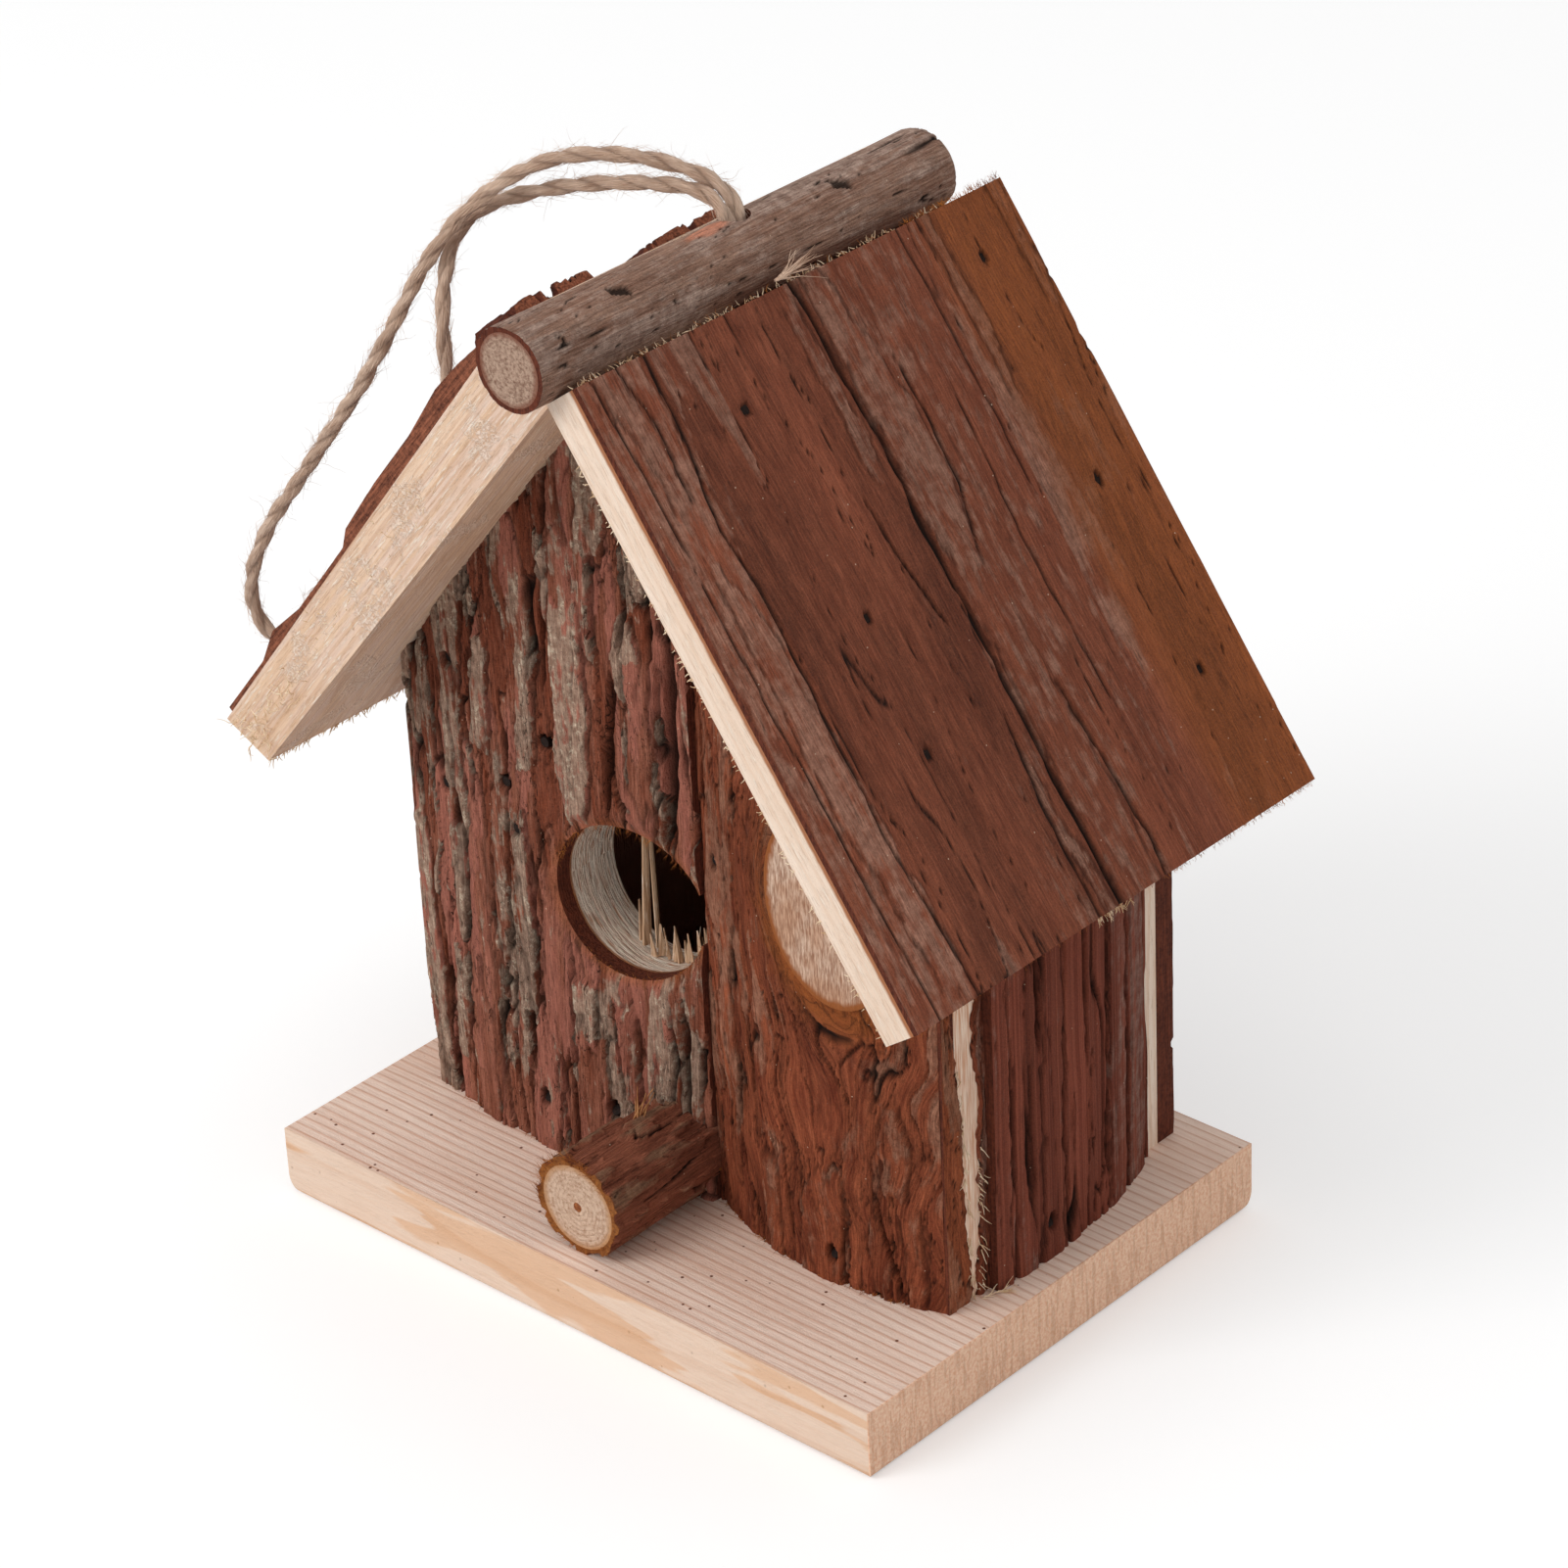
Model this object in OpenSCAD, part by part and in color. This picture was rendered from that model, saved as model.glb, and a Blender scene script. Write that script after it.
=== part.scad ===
// Rustic hanging birdhouse: bark-faced slabs nailed to a base board, two roof slabs, a ridge log,
// a perch stub and a loop of twine. Millimetres, +Z up, -Y is the front with the entry hole.
// The origin is the middle of the base board's underside.

/* [Base board] */
// Width of the base board, left to right
base_w = 150; // [144:1:180]
// Depth of the base board, front to back
base_d = 111; // [109:1:140]
// Thickness of the base board
base_t = 14.4; // [10:0.2:20]
// Radius of the worn lower edge at the left and at the back
base_worn_r = 4; // [1:0.5:8]
// Radius of the sharper lower edge at the right and at the front
base_edge_r = 1.5; // [0.5:0.5:4]

/* [Front wall] */
// Distance from the middle to the front wall's left edge
front_left_x = 65; // [60:1:70]
// Distance from the middle to the front wall's right edge
front_right_x = 66; // [61:1:70]
// Distance from the middle to the joint between the two front slabs
front_joint_x = 8; // [4:0.5:12]
// Distance from the base board's front edge to the front wall's inner face
front_in = 43.5; // [40:0.5:46]
// Thickness of the wood of a front slab at its crest
front_crest_t = 12; // [10:0.5:14]
// Thickness of the front bark
front_bark_t = 4.4; // [2:0.2:6]
// Radius of the round face of the left front slab
front_left_r = 125; // [100:5:200]
// Radius of the round face of the right front slab
front_right_r = 72; // [60:2:100]
// Distance from the middle to the crest of the left front slab
front_left_crest_x = 30; // [22:1:36]
// Distance from the middle to the crest of the right front slab
front_right_crest_x = 40; // [34:1:46]

/* [Entry hole and knot] */
// Radius of the entry hole
entry_r = 16; // [12:0.5:18]
// Distance from the middle to the entry hole's centre, to the left
entry_x = 7.4; // [6:0.2:14]
// Height of the entry hole's centre over the base board
entry_h = 61.1; // [50:0.5:75]
// Half width of the sawn branch knot
knot_half_w = 15; // [10:0.5:17]
// Half height of the sawn branch knot
knot_half_h = 20; // [14:0.5:24]
// Distance from the middle to the knot's centre
knot_x = 47; // [42:0.5:48]
// Height of the knot's centre over the base board
knot_h = 81.6; // [70:0.5:90]
// How far the sawn knot stands out of the bark's crest
knot_rise = 1.6; // [0.4:0.2:3]
// Width of the bark collar round the knot
knot_collar_w = 4; // [2:0.5:6]

/* [Side walls] */
// Distance from the middle to the right wall's inner face
right_inner_x = 53; // [48:0.5:56]
// Distance from the middle to the left wall's inner face
left_inner_x = 45.5; // [42:0.5:52]
// Distance from the middle to the crest of the side walls' bark
side_crest_x = 69.4; // [66:0.2:72]
// Radius of the round face of the side walls
side_r = 105; // [90:5:160]
// Distance from the middle to the line where the side walls are thickest
side_crest_y = 2; // [-4:1:10]
// Thickness of the side bark
side_bark_t = 3.5; // [2:0.1:5]

/* [Back wall] */
// Distance from the base board's back edge to the back wall's inner face
back_in = 15.5; // [14.5:0.5:18]
// Distance from the middle to each upright edge of the back wall
back_edge_x = 61; // [57:0.5:64]
// Distance from the middle to the joint between the two back slabs, to the left
back_joint_x = 4; // [0:0.5:10]
// Thickness of the wood of a back slab at its crest
back_crest_t = 8; // [6.5:0.5:9]
// Thickness of the back bark
back_bark_t = 5.5; // [3:0.5:6]
// Radius of the round face of the back slabs
back_r = 150; // [130:5:220]

/* [Bark grooves] */
// Width of a main groove at the face of the front and back bark
groove_w = 3.2; // [1.6:0.2:4]
// Depth of a main groove
groove_depth = 2.2; // [0.2:0.1:2.4]

/* [Left roof] */
// Slope of the left roof slab in degrees
left_slope = 49.8; // [48:0.1:51]
// Length of the left roof slab down the slope
left_len = 134; // [132:0.5:138]
// Distance from the middle to the left roof slab's lower inner edge
left_eave_x = 80.7; // [79:0.1:82]
// Height of the left roof slab's lower inner edge over the base board
left_eave_h = 74.9; // [74:0.1:76]
// Thickness of the left roof slab at the eave
left_eave_t = 11.8; // [10:0.2:14]
// Thickness of the left roof slab at the ridge
left_ridge_t = 15.2; // [12:0.2:16]
// How far the eave's saw cut runs down past square
left_eave_skew = 2.8; // [0:0.2:4]
// Distance from the base board's front edge back to the left roof slab's front end
left_front_in = 10.5; // [6:0.5:13]
// Thickest bark on the left roof slab
left_bark_t = 3.9; // [2:0.1:3.9]

/* [Right roof] */
// Slope of the right roof slab in degrees
right_slope = 54.5; // [54:0.1:56]
// Length of the right roof slab down the slope
right_len = 122.3; // [120:0.1:124]
// Distance between the two roof slabs' upper inner edges, measured level
vee_gap = 5.5; // [5:0.1:7]
// How much higher the right slab's upper inner edge lies than the left one's
vee_rise = 1.9; // [1:0.1:3]
// Thickness of the right roof slab
right_t = 7.8; // [6:0.2:10]
// Thickness of the bark on the right roof slab
right_bark_t = 1.5; // [1:0.1:2.5]
// Distance from the base board's front edge back to the right roof slab's front end
right_front_in = 0.5; // [0:0.5:4]
// Distance from the base board's back edge forward to the back end of both roof slabs
roof_back_in = 0.5; // [0:0.5:1.5]

/* [Ridge log] */
// Radius of the ridge log with its bark
ridge_r = 7.8; // [7.2:0.1:8.2]
// Thickness of the ridge log's thin bark
ridge_bark_t = 1; // [0.5:0.1:1.4]
// How far the ridge log's front end stands out past the base board's front edge
ridge_front_out = 4; // [1:0.5:8]
// Distance from the base board's back edge forward to the ridge log's back end
ridge_back_in = 8; // [2:0.5:11]

/* [Perch] */
// Radius of the perch stub with its bark
perch_r = 10; // [8:0.5:12]
// Thickness of the perch's bark
perch_bark_t = 1.3; // [0.8:0.1:2]
// Distance from the base board's front edge back to the perch's front end
perch_front_in = 5.1; // [1.5:0.2:11.5]
// Distance from the middle to the perch's centre line, to the left
perch_x = 0.3; // [0:0.1:3]

/* [Brads] */
// Radius of a brad's shank
brad_r = 0.7; // [0.5:0.05:0.9]
// Radius of a brad's head
brad_head_r = 1; // [0.95:0.05:1.3]
// Thickness of a brad's head
brad_head_t = 1; // [0.6:0.1:1.4]
// Depth of a brad's head under the surface
brad_sink = 1; // [0.3:0.1:1.2]
// Length of the brads that pin bark to its slab
brad_short = 10; // [8:0.5:11]
// Length of the brads that hold the walls and the right roof
brad_long = 25; // [22:0.5:26]
// Length of the nails that hold the left roof, the perch and the ridge log
nail_long = 34; // [30:0.5:36]
// Length of the nails driven up through the base board
base_nail_len = 30; // [26:0.5:34]

/* [Twine] */
// Diameter of the twine
twine_d = 2.7; // [2:0.1:2.8]
// Radius of the bore that the twine takes through the ridge log
twine_bore_r = 3.2; // [3:0.1:3.6]
// Distance from the middle to the twine's bore, towards the front
twine_y = 2; // [0:0.5:4]
// Lean of the twine's bore to the left in degrees
twine_lean = 10; // [8:0.5:12]
// Radius of the knot under the ridge
twine_knot_r = 3.6; // [3:0.1:4]

/* [Hidden] */
$fn = 120;

// Named clearances: the open line between two slabs, under the perch and round the ridge log
joint_gap = 0.2;
rest_gap = 0.05;
// Blank height and reach that every slab has before the roof planes trim it
blank = 260;
// How far a cut runs past the face that it opens, and how far a brad's open mouth does
past = 1;
mouth_past = 8;
// Height left free under the ridge log for the knot and the twine
ridge_room = 1.2;

// Main grooves in the bark, each as the share of the slab's width from its edge at the joint,
// and the heights over the base board between which it runs, where foot is the board itself
foot = -past;
front_left_grooves = [
  [0.06, 78, 154], [0.06, 24, 44], [0.16, 114, 135], [0.23, 76, 110], [0.26, 20, 41],
  [0.37, 130, 154], [0.42, 100, 122], [0.42, foot, 26], [0.51, 43, 66], [0.6, foot, 27],
  [0.71, 101, 122], [0.8, foot, 60], [0.88, foot, 32]];
back_left_grooves = [
  [0.12, 30, 150], [0.3, foot, 64], [0.46, 50, 140], [0.62, foot, 96], [0.82, foot, 30],
  [0.8, 44, 72]];
back_right_grooves = [
  [0.08, foot, 100], [0.22, 70, 160], [0.36, foot, 88], [0.52, 40, 150], [0.68, foot, 112],
  [0.84, foot, 30], [0.82, 44, 72]];

// Depths of the walls, the roofs, the log and the perch, all from the base board's edges
front_inner_y = base_d / 2 - front_in;
back_inner_y = base_d / 2 - back_in;
left_front_y = base_d / 2 - left_front_in;
right_front_y = base_d / 2 - right_front_in;
roof_back_y = base_d / 2 - roof_back_in;
ridge_front_y = base_d / 2 + ridge_front_out;
ridge_back_y = base_d / 2 - ridge_back_in;
perch_front_y = base_d / 2 - perch_front_in;

// Heights and roof planes, each roof seen from the front as a point and a slope
base_top = base_t;
left_eave = [-left_eave_x, base_top + left_eave_h];
function on_left(s, n) = [
  left_eave[0] + s * cos(left_slope) - n * sin(left_slope),
  left_eave[1] + s * sin(left_slope) + n * cos(left_slope)];
left_end = on_left(left_len, 0);
right_end = left_end + [vee_gap, vee_rise];
right_eave = right_end + right_len * [cos(right_slope), -sin(right_slope)];
function on_right(s, n) = [
  right_eave[0] - s * cos(right_slope) + n * sin(right_slope),
  right_eave[1] + s * sin(right_slope) + n * cos(right_slope)];

// The ridge log lies in the vee between the upper ends of the roof slabs and touches both
left_reach = ridge_r + rest_gap + left_end[0] * cos(left_slope) + left_end[1] * sin(left_slope);
right_reach = ridge_r + rest_gap - right_end[0] * cos(right_slope) + right_end[1] * sin(right_slope);
vee = sin(left_slope + right_slope);
ridge_x = (left_reach * sin(right_slope) - right_reach * sin(left_slope)) / vee;
ridge_z = (left_reach * cos(right_slope) + right_reach * cos(left_slope)) / vee;
gable_top = min(left_end[1], right_end[1]) - ridge_room;

// Depths of the slabs' crests, worked out from the faces that show
left_crest_t = side_crest_x - side_bark_t - left_inner_x;
right_crest_t = side_crest_x - side_bark_t - right_inner_x;
side_len = front_inner_y + back_inner_y;
entry_z = base_top + entry_h;
knot_z = base_top + knot_h;
perch_z = base_top + perch_r + rest_gap;

// Height of a slab's round face over its flat back, at a distance from its crest
function face_t(crest_t, r, from_crest) = crest_t - r + sqrt(r * r - from_crest * from_crest);

// Depth of the front bark's surface in front of the middle, at x
function front_face_y(x) = front_inner_y + front_bark_t + (x < front_joint_x
  ? face_t(front_crest_t, front_left_r, x + front_left_crest_x)
  : face_t(front_crest_t, front_right_r, x - front_right_crest_x));

// Twine route from the bore over the left roof and back, by hand, in order along the twine
twine_route = [
  [6.8, -0.5, 204.5], [6.1, -0.6, 208], [4.4, -1, 211.4], [0.5, -2.5, 214.2], [-6, -6, 216.5],
  [-14, -10.5, 217.5], [-22.5, -14, 216], [-30, -17, 212.5], [-37, -20, 207], [-42.5, -22.5, 201],
  [-47.5, -25.5, 193], [-53, -29, 181.5], [-59.5, -32, 169], [-67.5, -35, 156.5], [-75, -37, 145.5],
  [-81.5, -38, 136.5], [-86.5, -38.5, 127], [-88.8, -38, 119.5], [-88.8, -37, 114.4],
  [-86.8, -36, 110.8], [-83.2, -35, 110], [-79.8, -34, 113.4], [-76.8, -32, 121], [-66.5, -29.5, 131],
  [-57, -28.5, 142.5], [-51, -28.5, 153.5], [-43.5, -29, 163.5], [-39.6, -29.5, 171], [-41, -28.5, 181],
  [-44, -24.5, 189.5], [-45, -20, 197], [-41, -17, 202.5], [-33, -14.5, 206.5], [-23, -11, 209.5],
  [-13, -8, 211.5], [-4, -5, 212.2], [1, -3.9, 211.8], [4.5, -3.5, 210.2], [6.1, -3.4, 207.6],
  [6.8, -3.5, 204.5]];
twine_sides = 8;
rings_per_span = 2;

// Places of the brads that show, each as x and height over the base board
front_pins = [[-24, 90.3], [-34.9, 78.3], [-32.8, 69], [13.1, 76]];
front_long = [[-49, 99.3], [-53.2, 70.8]];
front_toes = [[-29.5, 11.2], [-12.8, 14.2], [43, 6]];
side_toe_h = 7.4;
side_toe_y = 3;
toe_angle = 45;
back_long_h = [34, 76];
// Places of the roof's brads, each as distance down from the ridge end, depth into the wall
// from its inner face, and backward lean
right_front_spots = [[16.1, 12, 15], [57.4, 9.5, 0], [82.5, 11.8, 5]];
right_back_spots = [[55.8, 2.2, 0], [94.4, 2.7, 0], [11.5, 2.4, 0]];
right_roof_spots = [
  for (p = right_front_spots) [p[0], -front_inner_y - p[1], p[2]],
  for (p = right_back_spots) [p[0], back_inner_y + p[1], p[2]]];
left_roof_down = [34, 94];
left_front_nail_in = 8;
left_back_nail_in = 4;
left_roof_spots = [
  for (down = left_roof_down) [down, -front_inner_y - left_front_nail_in],
  for (down = left_roof_down) [down, back_inner_y + left_back_nail_in]];
// Places of the ridge nails from the log's ends, and how far they pass beside its centre line
ridge_nail_in = [23.8, 26.5];
ridge_nail_off = 4.1;
// How far inside the wall slabs the nails from below stand, and their spread along each wall
base_nail_in = 4;
base_nail_x = [-46, -20, 24, 56];

// A quarter of waste that leaves a round edge when it is taken off a corner
module corner_waste(r) {
  difference() {
    translate([-past, -past]) square(r + past);
    translate([r, r]) circle(r);
  }
}

// A board's outline on its edge, from x = 0 to w, with a lower corner radius at each end
module board_outline(w, t, r_start, r_end) {
  difference() {
    square([w, t]);
    corner_waste(r_start);
    translate([w, 0]) mirror([1, 0]) corner_waste(r_end);
  }
}

// Plan of a slab sawn off a round trunk: flat back on y = 0, round face with its crest at crest_at
module slab_outline(w, crest_t, r, crest_at) {
  intersection() {
    square([w, crest_t]);
    translate([crest_at, crest_t - r]) circle(r, $fn = 360);
  }
}

// Plan of the bark on such a slab
module bark_outline(w, crest_t, r, crest_at, bark_t) {
  difference() {
    slab_outline(w, crest_t + bark_t, r, crest_at);
    slab_outline(w, crest_t, r, crest_at);
  }
}

// An outline seen from the front, drawn from one depth to another
module from_front(y_start, y_end) {
  translate([0, y_end, 0]) rotate([90, 0, 0]) linear_extrude(y_end - y_start) children();
}

// Everything under the two roof planes, cut flat under the ridge log
module under_roof() {
  left_foot = (gable_top - left_eave[1]) / tan(left_slope);
  right_foot = (gable_top - right_eave[1]) / tan(right_slope);
  from_front(-blank / 2, blank / 2) polygon([
    left_eave, [left_eave[0], base_top], [right_eave[0], base_top], right_eave,
    [right_eave[0] - right_foot, gable_top], [left_eave[0] + left_foot, gable_top]]);
}

// A plan outline raised into a wall and trimmed by the roof
module wall_blank() {
  intersection() {
    translate([0, 0, base_top]) linear_extrude(blank) children();
    under_roof();
  }
}

// Each turns an outline's flat back to the right side of the house
module front_left_plan() {
  translate([front_joint_x, -front_inner_y]) rotate(180) children();
}
module front_right_plan() {
  translate([front_right_x, -front_inner_y]) rotate(180) children();
}
module right_wall_plan() {
  translate([right_inner_x, back_inner_y]) rotate(-90) children();
}
module left_wall_plan() {
  translate([-left_inner_x, -front_inner_y]) rotate(90) children();
}
module back_plan(start_x) {
  translate([start_x, back_inner_y]) children();
}

// The roofs' own frames: x up the slope from the lower inner edge, z out of the slab
module in_left_roof() {
  translate([left_eave[0], 0, left_eave[1]]) rotate([0, -left_slope, 0]) children();
}
module in_right_roof() {
  translate([right_eave[0], 0, right_eave[1]]) mirror([1, 0, 0]) rotate([0, -right_slope, 0]) children();
}

// A brad with its head's top on z = 0, pointing down
module brad(len) {
  translate([0, 0, -len]) cylinder(r = brad_r, h = len);
  translate([0, 0, -brad_head_t]) cylinder(r = brad_head_r, h = brad_head_t);
}

// The hole that a brad leaves: its own shape and the open mouth over its head
module brad_hole(len) {
  brad(len);
  cylinder(r = brad_head_r, h = brad_sink + mouth_past);
}

// A brad or its hole, as the flag asks
module brad_or_hole(len, hole) {
  if (hole) brad_hole(len);
  else brad(len);
}

// Front brads, driven straight in or slanted down into the base board
module at_front(x, h, lean) {
  translate([x, -front_face_y(x) + brad_sink, base_top + h]) rotate([90 - lean, 0, 0]) children();
}
module front_brad_set(hole) {
  for (p = front_pins) at_front(p[0], p[1], 0) brad_or_hole(brad_short, hole);
  for (p = front_long) at_front(p[0], p[1], 0) brad_or_hole(brad_long, hole);
  for (p = front_toes) at_front(p[0], p[1], toe_angle) brad_or_hole(brad_long, hole);
}

// One slanted brad at the foot of each side wall
module side_brad_set(hole) {
  for (side = [-1, 1])
    translate([side * (side_crest_x - brad_sink), side_toe_y, base_top + side_toe_h])
      rotate([0, side * (90 - toe_angle), 0]) brad_or_hole(brad_long, hole);
}

// Back brads, driven through the back slabs into the ends of the side walls
function back_face_y(from_crest) = back_inner_y + back_bark_t + face_t(back_crest_t, back_r, from_crest);
back_left_crest_x = (-back_edge_x - back_joint_x) / 2;
back_right_crest_x = (back_edge_x - back_joint_x) / 2;
back_brad_left_x = -(left_inner_x + back_edge_x) / 2;
back_brad_right_x = (right_inner_x + back_edge_x) / 2;
module back_brad_set(hole) {
  spots = [
    [back_brad_left_x, back_face_y(back_brad_left_x - back_left_crest_x)],
    [back_brad_right_x, back_face_y(back_brad_right_x - back_right_crest_x)]];
  for (p = spots, h = back_long_h)
    translate([p[0], p[1] - brad_sink, base_top + h]) rotate([-90, 0, 0]) brad_or_hole(brad_long, hole);
}

// Roof brads, square to their slabs
module right_roof_brad_set(hole) {
  in_right_roof() for (p = right_roof_spots)
    translate([right_len - p[0], p[1], right_t + right_bark_t - brad_sink])
      rotate([p[2], 0, 0]) brad_or_hole(brad_long, hole);
}
module left_roof_nail_set(hole) {
  in_left_roof() for (p = left_roof_spots)
    translate([left_len - p[0], p[1], left_t(left_len - p[0])]) brad_or_hole(nail_long, hole);
}

// Nails through the ridge log into the upper end of the left roof slab
module ridge_nail_set(hole) {
  top_s = left_len + rest_gap + ridge_r + sqrt(ridge_r * ridge_r - ridge_nail_off * ridge_nail_off);
  in_left_roof() for (y = [-ridge_front_y + ridge_nail_in[0], ridge_back_y - ridge_nail_in[1]])
    translate([top_s - brad_sink, y, ridge_n + ridge_nail_off])
      rotate([0, 90, 0]) brad_or_hole(nail_long, hole);
}
ridge_n = -(ridge_x - left_eave[0]) * sin(left_slope) + (ridge_z - left_eave[1]) * cos(left_slope);

// The nail along the perch
module perch_nail_set(hole) {
  translate([-perch_x, -perch_front_y, perch_z]) rotate([90, 0, 0]) brad_or_hole(nail_long, hole);
}

// Nails up through the base board into the foot of every wall
module base_nail_set(hole) {
  front_y = -front_inner_y - base_nail_in;
  back_y = back_inner_y + base_nail_in;
  side_y = (back_inner_y - front_inner_y) / 2;
  spots = concat(
    [for (x = base_nail_x) [x, front_y]],
    [for (x = base_nail_x) [x * back_edge_x / front_right_x, back_y]],
    [[-left_inner_x - base_nail_in, side_y], [right_inner_x + base_nail_in, side_y]]);
  for (p = spots)
    translate([p[0], p[1], brad_sink]) rotate([180, 0, 0]) brad_or_hole(base_nail_len, hole);
}

// Base board with worn lower edges
module base_board() {
  color("wheat") difference() {
    intersection() {
      from_front(-base_d / 2, base_d / 2)
        translate([-base_w / 2, 0]) board_outline(base_w, base_t, base_worn_r, base_edge_r);
      translate([-base_w / 2, 0, 0]) rotate([90, 0, 90]) linear_extrude(base_w)
        translate([-base_d / 2, 0]) board_outline(base_d, base_t, base_edge_r, base_worn_r);
    }
    front_brad_set(true);
    side_brad_set(true);
    base_nail_set(true);
  }
}

// A V-shaped groove in bark that faces -Y, with its deepest line over the origin
module groove(low, high) {
  translate([0, 0, base_top + low]) linear_extrude(high - low)
    polygon([[0, 0], [-groove_w, -2 * groove_depth], [groove_w, -2 * groove_depth]]);
}

// Front wall: two slabs with the round face out, the left one bored for the entry hole
front_left_w = front_left_x + front_joint_x;
front_right_w = front_right_x - front_joint_x - joint_gap;
module entry_bore() {
  translate([-entry_x, 0, entry_z]) rotate([90, 0, 0]) cylinder(r = entry_r, h = blank);
}
module front_nails_through() {
  front_brad_set(true);
  left_roof_nail_set(true);
  right_roof_brad_set(true);
  base_nail_set(true);
  perch_nail_set(true);
}
module front_left_slab() {
  color("burlywood") difference() {
    wall_blank() front_left_plan()
      slab_outline(front_left_w, front_crest_t, front_left_r, front_joint_x + front_left_crest_x);
    entry_bore();
    front_nails_through();
  }
}
module front_left_bark() {
  color("saddlebrown") difference() {
    wall_blank() front_left_plan() bark_outline(
      front_left_w, front_crest_t, front_left_r, front_joint_x + front_left_crest_x, front_bark_t);
    for (g = front_left_grooves) {
      x = front_joint_x - g[0] * front_left_w;
      translate([x, groove_depth - front_face_y(x), 0]) groove(g[1], g[2]);
    }
    entry_bore();
    front_nails_through();
  }
}

// The sawn branch: an oval stub that stands out through the bark of the right slab
function oval(half_w, half_h) = [for (a = [0 : 9 : 351]) [half_w * cos(a), half_h * sin(a)]];
front_crest_y = front_inner_y + front_crest_t + front_bark_t;
module knot_prism(grow, y_face) {
  translate([knot_x, -front_inner_y - front_crest_t / 2, knot_z]) rotate([90, 0, 0])
    linear_extrude(y_face - front_inner_y - front_crest_t / 2)
      polygon(oval(knot_half_w + grow, knot_half_h + grow));
}
module front_right_slab() {
  color("burlywood") difference() {
    union() {
      wall_blank() front_right_plan() slab_outline(
        front_right_w, front_crest_t, front_right_r, front_right_x - front_right_crest_x);
      knot_prism(0, front_crest_y + knot_rise);
    }
    front_nails_through();
  }
}
module front_right_bark() {
  color("sienna") difference() {
    union() {
      wall_blank() front_right_plan() bark_outline(front_right_w, front_crest_t, front_right_r,
        front_right_x - front_right_crest_x, front_bark_t);
      difference() {
        knot_prism(knot_collar_w, front_crest_y + knot_rise / 2);
        wall_blank() front_right_plan() slab_outline(
          front_right_w, front_crest_t, front_right_r, front_right_x - front_right_crest_x);
        translate([front_right_x, -blank / 2, 0]) cube([blank, blank, blank]);
      }
    }
    knot_prism(0, front_crest_y + knot_rise + past);
    front_nails_through();
  }
}

// Side walls: one slab each between the front and the back wall
module side_nails_through() {
  front_brad_set(true);
  side_brad_set(true);
  back_brad_set(true);
  base_nail_set(true);
}
module left_wall_slab() {
  color("burlywood") difference() {
    wall_blank() left_wall_plan()
      slab_outline(side_len, left_crest_t, side_r, front_inner_y + side_crest_y);
    side_nails_through();
  }
}
module left_wall_bark() {
  color("saddlebrown") difference() {
    wall_blank() left_wall_plan()
      bark_outline(side_len, left_crest_t, side_r, front_inner_y + side_crest_y, side_bark_t);
    side_nails_through();
  }
}
module right_wall_slab() {
  color("burlywood") difference() {
    wall_blank() right_wall_plan()
      slab_outline(side_len, right_crest_t, side_r, back_inner_y - side_crest_y);
    side_nails_through();
  }
}
module right_wall_bark() {
  color("saddlebrown") difference() {
    wall_blank() right_wall_plan()
      bark_outline(side_len, right_crest_t, side_r, back_inner_y - side_crest_y, side_bark_t);
    side_nails_through();
  }
}

// Back wall: two slabs with the round face out
back_left_w = back_edge_x - back_joint_x;
back_right_w = back_edge_x + back_joint_x - joint_gap;
module back_nails_through() {
  back_brad_set(true);
  left_roof_nail_set(true);
  right_roof_brad_set(true);
  base_nail_set(true);
}
module back_grooves(grooves, crest_x, w, side) {
  for (g = grooves) {
    x = -back_joint_x + side * g[0] * w;
    translate([x, back_face_y(x - crest_x) - groove_depth, 0]) mirror([0, 1, 0]) groove(g[1], g[2]);
  }
}
module back_left_slab() {
  color("burlywood") difference() {
    wall_blank() back_plan(-back_edge_x)
      slab_outline(back_left_w, back_crest_t, back_r, back_edge_x + back_left_crest_x);
    back_nails_through();
  }
}
module back_left_bark() {
  color("saddlebrown") difference() {
    wall_blank() back_plan(-back_edge_x)
      bark_outline(back_left_w, back_crest_t, back_r, back_edge_x + back_left_crest_x, back_bark_t);
    back_grooves(back_left_grooves, back_left_crest_x, back_left_w, -1);
    back_nails_through();
  }
}
module back_right_slab() {
  color("burlywood") difference() {
    wall_blank() back_plan(-back_joint_x + joint_gap) slab_outline(
      back_right_w, back_crest_t, back_r, back_joint_x - joint_gap + back_right_crest_x);
    back_nails_through();
  }
}
module back_right_bark() {
  color("saddlebrown") difference() {
    wall_blank() back_plan(-back_joint_x + joint_gap) bark_outline(
      back_right_w, back_crest_t, back_r, back_joint_x - joint_gap + back_right_crest_x, back_bark_t);
    back_grooves(back_right_grooves, back_right_crest_x, back_right_w, 1);
    back_nails_through();
  }
}

// Left roof: a thick slab that swells towards the ridge, its bark flaked in plates.
// The plates are shares of the length up from the eave and of the thickest bark.
function left_t(s) = left_eave_t
  + (left_ridge_t - left_eave_t) * (s + left_eave_skew) / (left_len + left_eave_skew);
left_plates = [
  [0, 0.25], [0.13, 0.2], [0.19, 0.7], [0.27, 0.25], [0.43, 0.2], [0.46, 0.65], [0.57, 0.8],
  [0.69, 0.75], [0.79, 1], [0.86, 0.8], [0.92, 0.45], [0.95, 0.22]];
module left_roof_slab() {
  color("burlywood") difference() {
    in_left_roof() from_front(-left_front_y, roof_back_y) polygon([
      [0, 0], [left_len, 0], [left_len, left_ridge_t], [-left_eave_skew, left_eave_t]]);
    left_roof_nail_set(true);
    ridge_nail_set(true);
  }
}
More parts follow.
